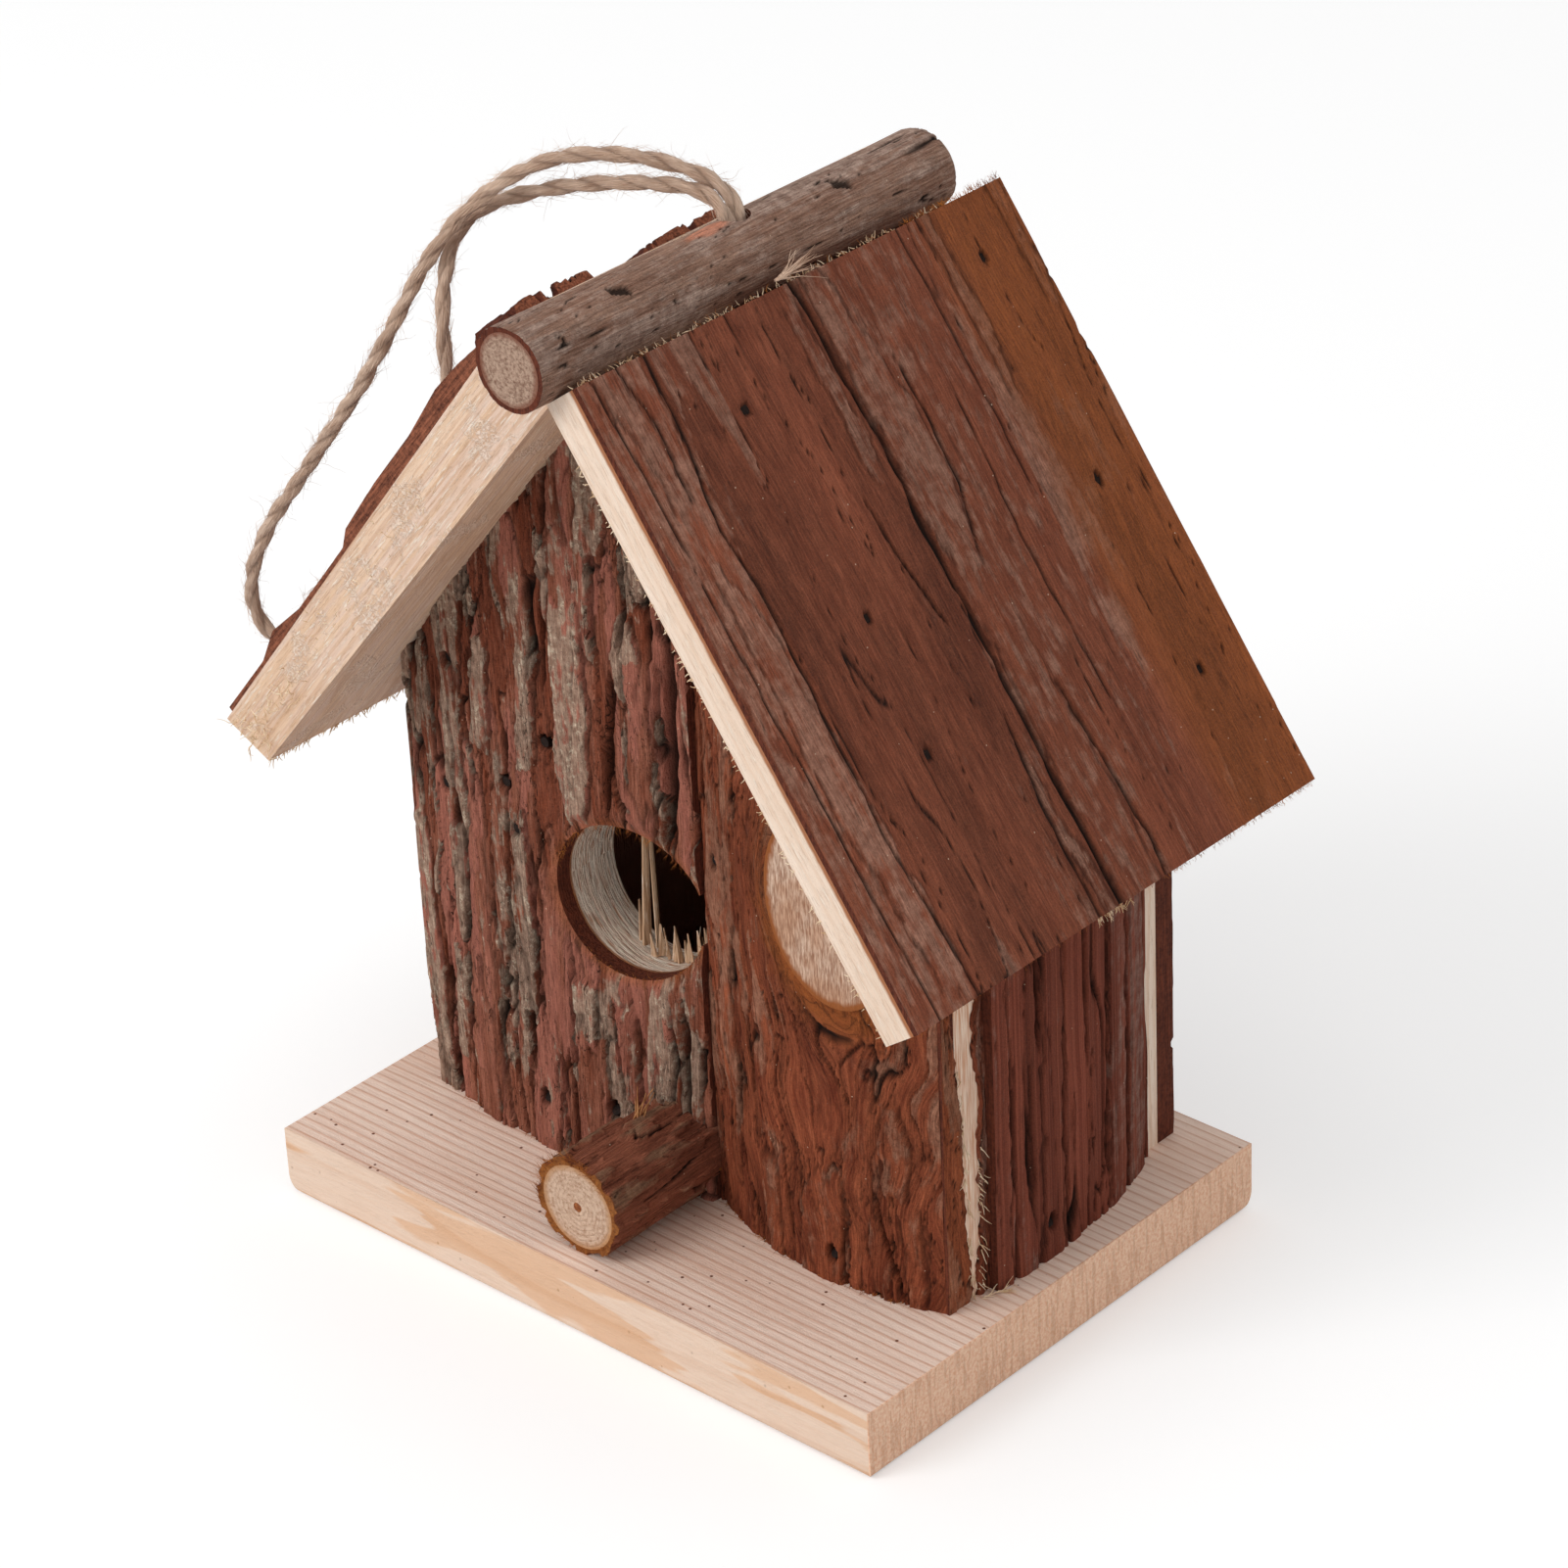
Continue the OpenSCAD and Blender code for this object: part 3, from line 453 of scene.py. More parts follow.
def bark_material(name, red, deep_red, grey, deep_grey, warm=linear(158, 88, 40), rough=0.85,
                  fibre=0.5, gloss=0.1, scale=1.0, flaky=1.0, lichen=0.0, mauve=0.0,
                  crisp=0.0):
    """Bark that reads the relief's own attributes and its grain map."""
    material, tree = new_material(name)
    grain = grain_map(tree)
    place = object_place(tree)
    weathered, crack, tone, warmth = (attribute(tree, label) for label in BARK_LOOKS)
    fine = streaks(grain, fibre, fibre * 16)
    broad = streaks(grain, 2.4, 34.0, 7.0)
    hair_height, hairline_shadow = scales(grain, 1.3 * scale, 20.0 * scale)
    chip_height, chip_shadow = scales(grain, 1.9 * scale, 9.0 * scale)
    crumb_shadow = scales(grain, 0.8 * scale, 4.0 * scale)[1]
    mottle = place.cloud(0.5, 4.0, 0.65).step(0.36, 0.66)
    grit = place.cloud(2.8, 3.0, 0.7)
    inner = blend((fine + broad) * 0.5, deep_red, red)
    if mauve:
        inner = blend(tone.step(0.0, 0.35) * mauve, inner, linear(172, 108, 94))
        inner = blend((tone * -1.0).step(0.0, 0.4) * mauve, inner, linear(134, 62, 36))
    outer = blend((mottle + fine) * 0.5, deep_grey, grey)
    crust = place.cloud(0.75, 5.0, 0.75).step(0.5, 0.6)
    crust = crust * streaks(grain, 2.0, 12.0, 17.0).step(0.3, 0.8)
    outer = blend(crust * lichen, outer, linear(216, 200, 176))
    ragged = streaks(grain, 1.3, 9.0, 3.0) * 0.55 + mottle * 0.2
    share = (weathered + (ragged - 0.4)).step(0.2 + 0.25 * crisp, 1.0 - 0.25 * crisp)
    colour = blend(warmth * (fine * 0.3 + 0.55), blend(share, inner, outer), warm)
    value = tone * 0.32 + (grit - 0.5) * 1.2 + 1.02
    value = value + (streaks(grain, 0.35, 4.5, 11.0) - 0.5) * 0.35
    # Painted shadow: the scales' steps become dark lines.
    lines = (chip_shadow * (0.6 * flaky)).most(crumb_shadow * (0.35 * flaky))
    lines = lines.most(hairline_shadow * (0.4 + 0.3 * flaky))
    looks = bpy.context.scene.birdhouse_bark
    # Cracks and these lines are painted towards the crack colour: painted shade in the cracks,
    # painted shadow under the steps.
    dark = blend(crack.most(lines), toned(colour, value), looks.crack)
    final_colour = blend(specks(place, 0.9, 0.15, 0.03) * 0.8, dark, linear(225, 196, 170))
    height = chip_height * (0.7 * flaky) + hair_height * 0.6 + (fine + grit * 1.3)
    return coat(material, Base_Color=final_colour, Roughness=grit * 0.22 + (rough - 0.1),
                Specular_IOR_Level=gloss, Normal=bump(height, 0.8, 0.4))


def cut_bark_material(name, light, dark, turn):
    """The sawn or torn edge of bark: thin layers that lie along its face."""
    material, tree = new_material(name)
    place = object_place(tree, turn)
    layers = streaks(place, 0.5, 9.0)
    grit = place.cloud(1.3, 5.0, 0.7)
    share = layers * 0.5 + grit.step(0.3, 0.7) * 0.5
    return coat(material, Base_Color=blend(share, dark, light), Roughness=0.9,
                Specular_IOR_Level=0.2, Normal=bump(layers + grit, 0.7, 0.35))


def nest_shade_mask(place):
    """1 on the faces that close the nest space, which are painted dark as the shade inside the
    nest.
    """
    x, y, z = place.parts()
    across = x.over(-46.5) * x.under(54)
    deep = y.over(-12.2) * y.under(40.6)
    return across * deep * z.over(BASE_TOP - 0.2)


def torn_bands(place, colour, share):
    """Paints long bands over a wide face, and torn patches with painted shade in their hollows and
    painted highlights on their ridges. Also gives where it is ragged.
    """
    sideways = place.turned((0, 0, math.pi / 2))
    wide = streaks(sideways, 2.2, 90.0, 21.0).step(0.3, 0.7)
    narrow = streaks(sideways, 0.6, 50.0, 5.0).step(0.55, 0.9)
    swirl = made(place.tree, "ShaderNodeTexNoise", values={
        "Vector": place, "Scale": 0.7, "Detail": 3.0, "Distortion": 2.4})
    patch = place.cloud(0.075, 4.0, 0.65).step(0.54, 0.6)
    ragged = patch * swirl.step(0.4, 0.6)
    # The torn patches' low parts get a painted shade colour and their ridges a painted highlight
    # colour.
    for mask, tint in ((wide, linear(240, 206, 172)), (narrow, linear(206, 162, 128)),
                       (patch - ragged, linear(222, 182, 150)),
                       (ragged, linear(252, 232, 216))):
        colour = blend(mask * share, colour, tint)
    return colour, ragged


def sawn_wood_material(name, turn, cream, line, spacing=2.2, tilt=0.2, wander=1.5,
                       line_share=0.5, torn=0.5, dirt=0.0, amber=None, sharp=1.0, bands=0.0,
                       under=None):
    """Rough sawn softwood: growth lines, torn fibres, amber where the bark begins, and painted
    shade on the faces inside the nest.
    """
    material, tree = new_material(name)
    plain = object_place(tree)
    place = object_place(tree, turn)
    late, fibres, patches, height = rings(place, spacing, wander, tilt)
    sideways = place.turned((0, 0, math.pi / 2))
    pale, deep = (streaks(sideways, 0.32, 4.5, shift).step(0.76, 0.98) for shift in (0.0, 9.0))
    share = late.math("POWER", sharp) * line_share + (1.0 - fibres.step(0.25, 0.75)) * 0.3
    colour = blend(patches * 0.3, blend(share, cream, line), line)
    if bands:
        colour, ragged = torn_bands(place, colour, bands)
    colour = blend(deep * (0.5 * torn), colour, linear(186, 138, 98))
    colour = blend(pale * torn, colour, linear(255, 242, 226))
    if dirt:
        colour = blend(specks(place, 0.5, 0.2, dirt), colour, linear(110, 62, 38))

    def above(point, normal):
        return plain.vector("SUBTRACT", point).vector("DOT_PRODUCT", normal, out="Value")
    if amber:
        rim = (above(*amber) + plain.cloud(0.4, 2.0) * 0.5).step(-1.0, -0.3)
        colour = blend(rim * 0.9, colour, linear(162, 92, 40))
    grit = place.cloud(3.0, 3.0, 0.6)
    # Faces inside the nest space, below the roof's underside where one is given, are painted
    # darker: painted shade.
    inside = nest_shade_mask(plain)
    if under:
        inside = inside * above(*under).under(0.0)
    final_colour = blend(inside, toned(colour, grit * 0.16 + 0.92), linear(168, 120, 100))
    height = height + grit + (pale - deep) * torn
    if bands:
        height = height + ragged * 2.5
    return coat(material, Base_Color=final_colour, Roughness=0.75, Specular_IOR_Level=0.2,
                Normal=bump(height, 0.6, 0.22))


def below(material, label="Base Color"):
    """What a finished material's shader input is fed with, for more to be laid over it."""
    tree = material.node_tree
    socket = tree.nodes["Principled BSDF"].inputs[label].links[0].from_socket
    return Wire(tree, socket)


def distance(first, second):
    return (first * first + second * second).math("SQRT")


def add_bore(material):
    """Paints the rough ring of the entry hole: torn fibres that run round it, and resin. The ring's
    pale wood is painted lighter still, as painted light on the bore.
    """
    tree = material.node_tree
    x, y, z = object_place(tree, centre=(ENTRY.x, 0, ENTRY.y)).parts()
    lines = joined(tree, X=y, Y=z.math("ARCTAN2", x) * ENTRY_RADIUS)
    fine = streaks(lines, 0.4, 6.0)
    broad = streaks(lines, 1.1, 14.0, 4.0)
    # Near-white ring: the bored wood's own pale colour, painted lighter as painted light.
    ring = blend(fine.step(0.0, 0.5), linear(196, 142, 110), linear(255, 240, 222))
    ring = blend(broad * 0.35, ring, linear(240, 196, 164))
    trunk = distance(x - (LEFT_ROUND[1] - ENTRY.x), y - (LEFT_ROUND[0] - FRONT_INNER - FRONT_CREST))
    resin_line = trunk.step(LEFT_ROUND[0] - 0.8, LEFT_ROUND[0] - 0.2)
    ring = blend(resin_line * 0.9, ring, linear(170, 100, 48))
    bored_face = distance(x, z).under(ENTRY_RADIUS + 0.3)
    coat(material, Base_Color=blend(bored_face, below(material), ring))
    over = below(material, "Normal").socket.node
    fill(tree, over.inputs["Normal"], bump(bored_face * (fine + broad), 0.9, 0.5))


def add_board_faces(material):
    """Paints the board's planed front in cream and amber patches, and its rough end, which is
    painted lighter as painted light.
    """
    place = object_place(material.node_tree)
    x, y, _ = place.parts()
    low, high = (Vector(corner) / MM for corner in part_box("base_board"))
    patches = place.scaled((0.014, 1.0, 0.11)).cloud(1.0, 3.0, 0.55).step(0.5, 0.53)
    amber = blend(patches, linear(240, 214, 192), linear(230, 184, 144))
    fibre = place.scaled((0.12, 2.0, 2.0)).cloud(1.0, 3.0).step(0.35, 0.7)
    amber = blend(fibre * 0.3, amber, linear(226, 184, 150))
    colour = blend(y.under(low.y + 0.3) * 0.75, below(material), amber)
    grit = place.cloud(1.4, 4.0, 0.7).step(0.35, 0.65)
    # The rough end is painted lighter than its own colour: painted light on the board's right end.
    lit_rough_end = blend(grit, linear(238, 180, 144), linear(255, 218, 188))
    growth = streaks(place.scaled((0.0, 1.0, 0.2)), 2.0, 1.2).step(0.55, 0.8)
    lit_rough_end = blend(growth * 0.35, lit_rough_end, linear(196, 140, 104))
    coat(material, Base_Color=blend(x.over(high.x - 0.3) * 0.9, colour, lit_rough_end))


def add_knot(material):
    """Paints the sawn branch on the front of the right slab, with its amber rim."""
    tree = material.node_tree
    place = object_place(tree, centre=(KNOT.x, 0, KNOT.y))
    x, y, z = place.parts()
    flat = joined(tree, X=x / KNOT_HALF[0], Z=z / KNOT_HALF[1])
    off = flat.vector("LENGTH", out="Value")
    upright = streaks(place.turned((math.pi / 2, 0, 0)), 0.35, 2.4)
    broad = place.cloud(0.12, 3.0).step(0.35, 0.65)
    face = blend(broad, linear(230, 202, 180), linear(206, 164, 136))
    face = blend(upright * 0.9, face, linear(146, 100, 74))
    rim = (off + place.cloud(0.5, 2.0) * 0.1).step(0.93, 1.02)
    face = blend(rim, face, linear(150, 86, 42))
    fibre = streaks(joined(tree, X=y, Y=z), 0.4, 9.0)
    torn = blend(fibre, linear(220, 164, 130), linear(255, 232, 210))
    colour = blend(x.over(FRONT_RIGHT_EDGE - KNOT.x - 0.2), below(material), torn)
    coat(material, Base_Color=blend(y.under(-29.2), colour, face))


def log_end_material(name, centre, size, cream, line, edge, spacing, ring_share):
    """Sawn end grain of a round stub that runs along Y, with a stained edge."""
    material, tree = new_material(name)
    place = object_place(tree, centre=(centre[0], 0, centre[1]))
    x, _, z = place.parts()
    flat = joined(tree, X=x, Y=z)
    drift = made(tree, "ShaderNodeTexNoise", values={"Vector": flat, "Scale": 0.25},
                 out="Color").scaled((1.6, 1.6, 0.0))
    bent = flat.vector("ADD", drift).vector("SUBTRACT", (0.8, 0.8, 0.0))
    radius = bent.vector("LENGTH", out="Value")
    ring = (radius / spacing).math("FRACT")
    late = ring.step(0.3, 0.85) * (1.0 - ring.step(0.9, 1.0))
    grit = place.cloud(1.4, 5.0, 0.75)
    colour = blend(late * ring_share + grit.step(0.4, 0.66) * 0.75, cream, line)
    colour = blend(radius.step(0.8 * size, size) * 0.8, colour, edge)
    return coat(material, Base_Color=colour, Roughness=0.85, Specular_IOR_Level=0.2,
                Normal=bump(grit + late * ring_share, 0.9, 0.8))


def twine_material(name, light, dark):
    material, tree = new_material(name)
    fine = streaks(grain_map(tree), 0.22, 3.2)
    broad = object_place(tree).cloud(0.16, 2.0).step(0.35, 0.7)
    colour = blend(fine * 0.6 + broad * 0.4, dark, light)
    # The groove between the plies, kept in the 'crack' layer, is painted darker: painted shade.
    colour = blend(attribute(tree, "crack") * 0.55, colour, linear(124, 90, 68))
    return coat(material, Base_Color=colour, Roughness=0.85, Specular_IOR_Level=0.2,
                Sheen_Weight=0.25, Normal=bump(fine, 0.8, 0.25))


def hair_material(name, light, dark, density=0.12):
    """Loose fibres, each stretch of them a little lighter or darker."""
    material, tree = new_material(name)
    share = object_place(tree).cloud(density, 3.0).step(0.35, 0.65)
    return coat(material, Base_Color=blend(share, dark, light), Roughness=0.8,
                Specular_IOR_Level=0.25)


def steel_material(name, light, dark):
    """Dull steel with dirt and a little rust."""
    material, tree = new_material(name)
    grit = object_place(tree).cloud(2.2, 4.0, 0.7)
    return coat(material, Base_Color=blend(grit.step(0.35, 0.7), dark, light), Metallic=0.25,
                Roughness=0.7, Specular_IOR_Level=0.2, Normal=bump(grit, 0.4, 0.1))


# Bark relief
def along_line(points, v):
    """What a feature's points say at v, held at both ends. Points rise with v."""
    if v <= points[0][0]:
        return points[0][1:]
    for start, end in zip(points, points[1:]):
        if v <= end[0]:
            share = (v - start[0]) / (end[0] - start[0])
            return [mix(a, b, share) for a, b in zip(start[1:], end[1:])]
    return points[-1][1:]


class Bark:
    """The bark of one slab: its own noise, and the listed cracks and flakes.

    A seam is (points, width, depth), each point (v, u). A flake is (points, lift, outer,
    tone), each point (v, u, half width). A pit is (u, v, half width, half height, depth).
    """
    plate = (7, 60)
    lift = 0.9
    crack = 1.6
    width = 0.07
    grey = 0.5
    wander = 2.0
    rough = 0.13
    fissure = 0.6
    pits = ()
    flow = None
    warm = None

    def __init__(self, seed, thickness, seams=(), flakes=(), **looks):
        self.seed = seed
        self.thickness = thickness
        self.seams = [(sorted(points), wide, deep) for points, wide, deep in seams]
        self.flakes = [(sorted(points), *rest) for points, *rest in flakes]
        for name, value in looks.items():
            setattr(self, name, value)

    def plates(self, w, v, share, seed):
        """Distance from the nearest plate's border, and a point that stands for the plate."""
        across, along = share * self.plate[0], share * self.plate[1]
        spot = Vector((w / across + 0.4 * wave(w / (0.5 * across), v / (0.25 * along), seed + 5),
                       v / along + 0.35 * wave(w / (0.4 * across), v / (0.2 * along), seed + 8),
                       seed))
        distances, points = noise.voronoi(spot)
        return distances[1] - distances[0], points[0]

    def at(self, u, v):
        """Height over the wood, the looks named above, and the place across the grain."""
        seed = self.seed
        w = self.flow(u, v) if self.flow else u
        w += self.wander * wave(w / 17, v / 48, seed)
        w += 0.3 * self.wander * wave(w / 5, v / 15, seed + 3)
        border, plate = self.plates(w, v, 1.0, seed)
        rim, chip = self.plates(w, v, 0.34, seed + 60)
        level = noise.cell(plate)
        opened = ramp(-0.3, 0.35, wave(w / 12, v / 26, seed + 37))
        crack = 1 - ramp(0.0, self.width * (0.25 + opened), border)
        split = ramp(-0.1, 0.3, wave(w / 6, v / 17, seed + 39))
        crack = max(crack, self.fissure * split * (1 - ramp(0.0, 0.08, rim)))
        fibre = wave(w / 0.9, v / 9, seed + 41)
        ridge = wave(w / 2.0, v / 20, seed + 43)
        lift = self.lift * (0.5 * level + 0.1 * wave(w / 3, v / 14, seed + 45))
        lift += 0.12 * self.lift * noise.cell(chip)
        lift += self.rough * (fibre + 1.7 * ridge)
        region = wave(w / 13, v / 45, seed + 47) + 0.6 * wave(w / 2.4, v / 9, seed + 49)
        outer = ramp(-0.45, 0.5, 0.55 * level + region + 1.6 * (self.grey - 0.5))
        tone = 0.45 * noise.cell(plate + Vector((5, 9, 7))) + 0.3 * noise.cell(chip)
        tone += 0.5 * wave(w / 6, v / 30, seed + 53) + 0.4 * ridge
        for points, rise, grey_share, tint in self.flakes:
            first, last = points[0][0], points[-1][0]
            if first - 3 < v < last + 3:
                centre, half = along_line(points, v)
                rag = 1.0 * wave(u / 2.2, v / 7, seed + 61) + 0.6 * wave(u, v / 2, seed + 67)
                ends = min(v - first, last - v) + 3 + 2.5 * wave(u / 1.3, 0.5, seed + 71)
                inside = half - abs(u - centre) + rag
                share = ramp(0, 0.5, inside) * ramp(0, 1.2, ends)
                lift = mix(lift, rise + 0.5 * lift, share)
                patchy = 0.5 * wave(w / 1.8, v / 6, seed + 83) + 0.3 * wave(w, v / 2, seed + 87)
                outer = mix(outer, min(1, grey_share + patchy), share)
                tone = mix(tone, tint + 0.4 * tone, share)
                # A raised flake gets a dark rim along its edge: painted shade where the flake
                # stands off the bark.
                rim = ramp(-0.7, 0, inside) * (1 - ramp(0, 0.5, inside)) * ramp(0, 1.2, ends)
                crack = mix(crack, 0.5 * crack, share)
                crack = max(crack, 0.6 * rim * (rise > 0))
        deep = self.crack * crack * crack
        for points, wide, depth in self.seams:
            first, last = points[0][0], points[-1][0]
            if first < v < last:
                (centre,) = along_line(points, v)
                centre += 0.45 * wave(u / 9, v / 6, seed + 73)
                half = 0.5 * wide * (0.75 + 0.5 * wave(v / 5, centre / 3, seed + 79))
                half *= ramp(0, 5, v - first) * ramp(0, 5, last - v)
                cut = 1 - ramp(0.3 * half, half + 0.15, abs(u - centre))
                crack = max(crack, cut)
                deep = max(deep, depth * cut)
        for centre, middle, half, tall, depth in self.pits:
            if abs(u - centre) < 2 * half and abs(v - middle) < 2 * tall:
                off = math.hypot((u - centre) / half, (v - middle) / tall)
                cut = 1 - ramp(0.75, 1.1, off)
                crack = max(crack, cut)
                deep = max(deep, depth * cut)
        warm = self.warm(u, v) if self.warm else 0.0
        return max(0.25, self.thickness + lift - deep), (outer, crack, tone, warm), w


# Meshes
def mesh_object(name, bm, materials, nodes=()):
    """Makes a bmesh the finished piece that rides on the house."""
    mesh = bpy.data.meshes.new(name)
    bm.to_mesh(mesh)
    bm.free()
    return finished(bpy.data.objects.new(name, mesh), materials, nodes)


def finished(piece, materials, nodes=()):
    bpy.context.scene.collection.objects.link(piece)
    for material in materials:
        piece.data.materials.append(material)
    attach(piece, "root")
    if nodes:
        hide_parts(*nodes)
    return piece


def sheet_blank(u_span, v_span, cell):
    """A flat grid over a slab's face, u across the grain and v along it."""
    bm = bmesh.new()
    wide = u_span[1] - u_span[0]
    tall = v_span[1] - v_span[0]
    bmesh.ops.create_grid(
        bm, x_segments=max(2, round(wide / cell[0])), y_segments=max(2, round(tall / cell[1])),
        size=0.5)
    bmesh.ops.scale(bm, vec=(wide, tall, 1), verts=bm.verts)
    middle = (sum(u_span) / 2, sum(v_span) / 2, 0)
    bmesh.ops.translate(bm, vec=middle, verts=bm.verts)
    return bm


def trim(bm, point, normal):
    """Cuts off what lies beyond a line, given by a point and its outward normal."""
    bmesh.ops.bisect_plane(
        bm, geom=bm.verts[:] + bm.edges[:] + bm.faces[:], dist=1e-4,
        plane_co=(*point, 0), plane_no=(*normal, 0), clear_outer=True)


def bore(bm, centre, half_w, half_h, cell, edge=None):
    """Opens an oval hole in a flat sheet and draws its rim onto the oval."""
    def off(vert):
        return math.hypot((vert.co.x - centre[0]) / half_w, (vert.co.y - centre[1]) / half_h)
    inside = [face for face in bm.faces if any(off(vert) < 1 for vert in face.verts)]
    bmesh.ops.delete(bm, geom=inside, context="FACES")
    reach = 1 + 2.5 * max(cell) / min(half_w, half_h)
    for vert in bm.verts:
        share = off(vert)
        at_edge = edge is not None and abs(vert.co.x - edge) <= 0.01
        if vert.is_boundary and share < reach and not at_edge:
            vert.co.x = centre[0] + (vert.co.x - centre[0]) / share
            vert.co.y = centre[1] + (vert.co.y - centre[1]) / share


def thicken(bm, bark, place, cell, keep=24, grow=None):
    """Turns a flat sheet into closed bark, with its relief in the upper side."""
    layers = [bm.verts.layers.float.new(label) for label in BARK_LOOKS]
    grown = bmesh.ops.extrude_face_region(bm, geom=bm.faces[:])["geom"]
    top = {item for item in grown if isinstance(item, bmesh.types.BMVert)}
    below = [edge for edge in bm.edges if not (set(edge.verts) & top)
             and not any(set(face.verts) & top for face in edge.link_faces)]
    spare = []
    for edge in below:
        first, second = (vert.co for vert in edge.verts)
        upright = abs(first.y - second.y) > abs(first.x - second.x)
        column = round(first.x / cell[0])
        if not upright or column % keep:
            spare.append(edge)
    bmesh.ops.dissolve_edges(bm, edges=spare, use_verts=True)
    grain = {}
    for vert in bm.verts:
        u, v = vert.co.x, vert.co.y
        height, looks, across = bark.at(u, v)
        if vert in top:
            if grow:
                height = grow(u, v, height)
            for layer, value in zip(layers, looks):
                vert[layer] = value
        else:
            height = 0
        grain[vert] = (across, v)
        vert.co = place(u, v, height) * MM
    skin(bm, top, lambda face, vert: grain[vert])


def skin(bm, top, grain_at):
    """Gives bark its grain map, its outer and cut finishes, and sharp rims."""
    chart = bm.loops.layers.uv.new("grain")
    for face in bm.faces:
        face.smooth = all(vert in top for vert in face.verts)
        face.material_index = 0 if face.smooth else 1
        for loop in face.loops:
            loop[chart].uv = grain_at(face, loop.vert)
    for edge in bm.edges:
        edge.smooth = len({face.smooth for face in edge.link_faces}) == 1
    bmesh.ops.recalc_face_normals(bm, faces=bm.faces)


def round_face(radius, from_crest):
    """How far a trunk's round face falls below its crest."""
    return radius - math.sqrt(radius * radius - from_crest * from_crest)


def on_front(radius, crest):
    return lambda u, v, height: Vector(
        (u, -(FRONT_INNER + FRONT_CREST - round_face(radius, u - crest) + height), v))


def on_side(side):
    """Places bark on a side wall, with its top edge under the slanted roof."""
    eave, slope = (RIGHT_EAVE, RIGHT_SLOPE) if side > 0 else (LEFT_EAVE, LEFT_SLOPE)

    def place(u, v, height):
        x = SIDE_WOOD - round_face(SIDE_ROUND[0], u - SIDE_ROUND[1]) + height
        top = eave[1] + (abs(eave[0]) - x) * math.tan(slope)
        z = BASE_TOP + v * (top - BASE_TOP)
        return Vector((side * x, u, z))
    return place


def on_back(crest):
    return lambda u, v, height: Vector(
        (u, BACK_INNER + BACK_CREST - round_face(BACK_RADIUS, u - crest) + height, v))


def left_wood(s):
    return LEFT_EAVE_WOOD + (LEFT_RIDGE_WOOD - LEFT_EAVE_WOOD) * (s + LEFT_SKEW) / (
        LEFT_LENGTH + LEFT_SKEW)


def on_left_roof(u, v, height):
    n = left_wood(v) + height
    return Vector((LEFT_EAVE[0] + v * math.cos(LEFT_SLOPE) - n * math.sin(LEFT_SLOPE), u,
                   LEFT_EAVE[1] + v * math.sin(LEFT_SLOPE) + n * math.cos(LEFT_SLOPE)))


def on_right_roof(u, v, height):
    n = RIGHT_WOOD + height
    return Vector((RIGHT_EAVE[0] - v * math.cos(RIGHT_SLOPE) + n * math.sin(RIGHT_SLOPE), u,
                   RIGHT_EAVE[1] + v * math.sin(RIGHT_SLOPE) + n * math.cos(RIGHT_SLOPE)))


def trim_under_roof(bm):
    trim(bm, LEFT_EAVE, (-math.sin(LEFT_SLOPE), math.cos(LEFT_SLOPE)))
    trim(bm, RIGHT_EAVE, (math.sin(RIGHT_SLOPE), math.cos(RIGHT_SLOPE)))
    trim(bm, (0, GABLE_TOP), (0, 1))


def coarse():
    return 1


def cells(share=1.0):
    looks = bpy.context.scene.birdhouse_bark
    return looks.across / MM * share * coarse(), looks.along / MM * share * coarse()


# Round pieces: a grid wrapped round a line and closed at its seam and ends
def smooth_route(points, steps):
    """A smooth curve through points, as the frame's own solid has it."""
    points = [Vector(point) for point in points]
    last = len(points) - 1
    route = []
    for i in range(last):
        p0, p1, p2, p3 = (points[max(0, min(last, i + k))] for k in (-1, 0, 1, 2))
        for k in range(steps):
            t = k / steps
            route.append(0.5 * (2 * p1 + (p2 - p0) * t + (2 * p0 - 5 * p1 + 4 * p2 - p3) * t * t
                                + (3 * p1 - p0 - 3 * p2 + p3) * t * t * t))
    return route + [points[-1]]


def even_route(points, step_length):
    """The same curve at even steps, with a direction that doesn't twist along it."""
    reach = [0.0]
    for start, end in zip(points, points[1:]):
        reach.append(reach[-1] + (end - start).length)
    count = max(2, round(reach[-1] / step_length))
    route = []
    i = 0
    for k in range(count + 1):
        target = reach[-1] * k / count
        while i < len(points) - 2 and reach[i + 1] < target:
            i += 1
        share = (target - reach[i]) / max(1e-9, reach[i + 1] - reach[i])
        route.append(points[i].lerp(points[i + 1], min(1.0, share)))
    side = Vector((0, 1, 0))
    frames = []
    for k, point in enumerate(route):
        ahead = (route[min(count, k + 1)] - route[max(0, k - 1)]).normalized()
        side = (side - ahead * side.dot(ahead)).normalized()
        frames.append((point, side, ahead.cross(side)))
    return frames, reach[-1]


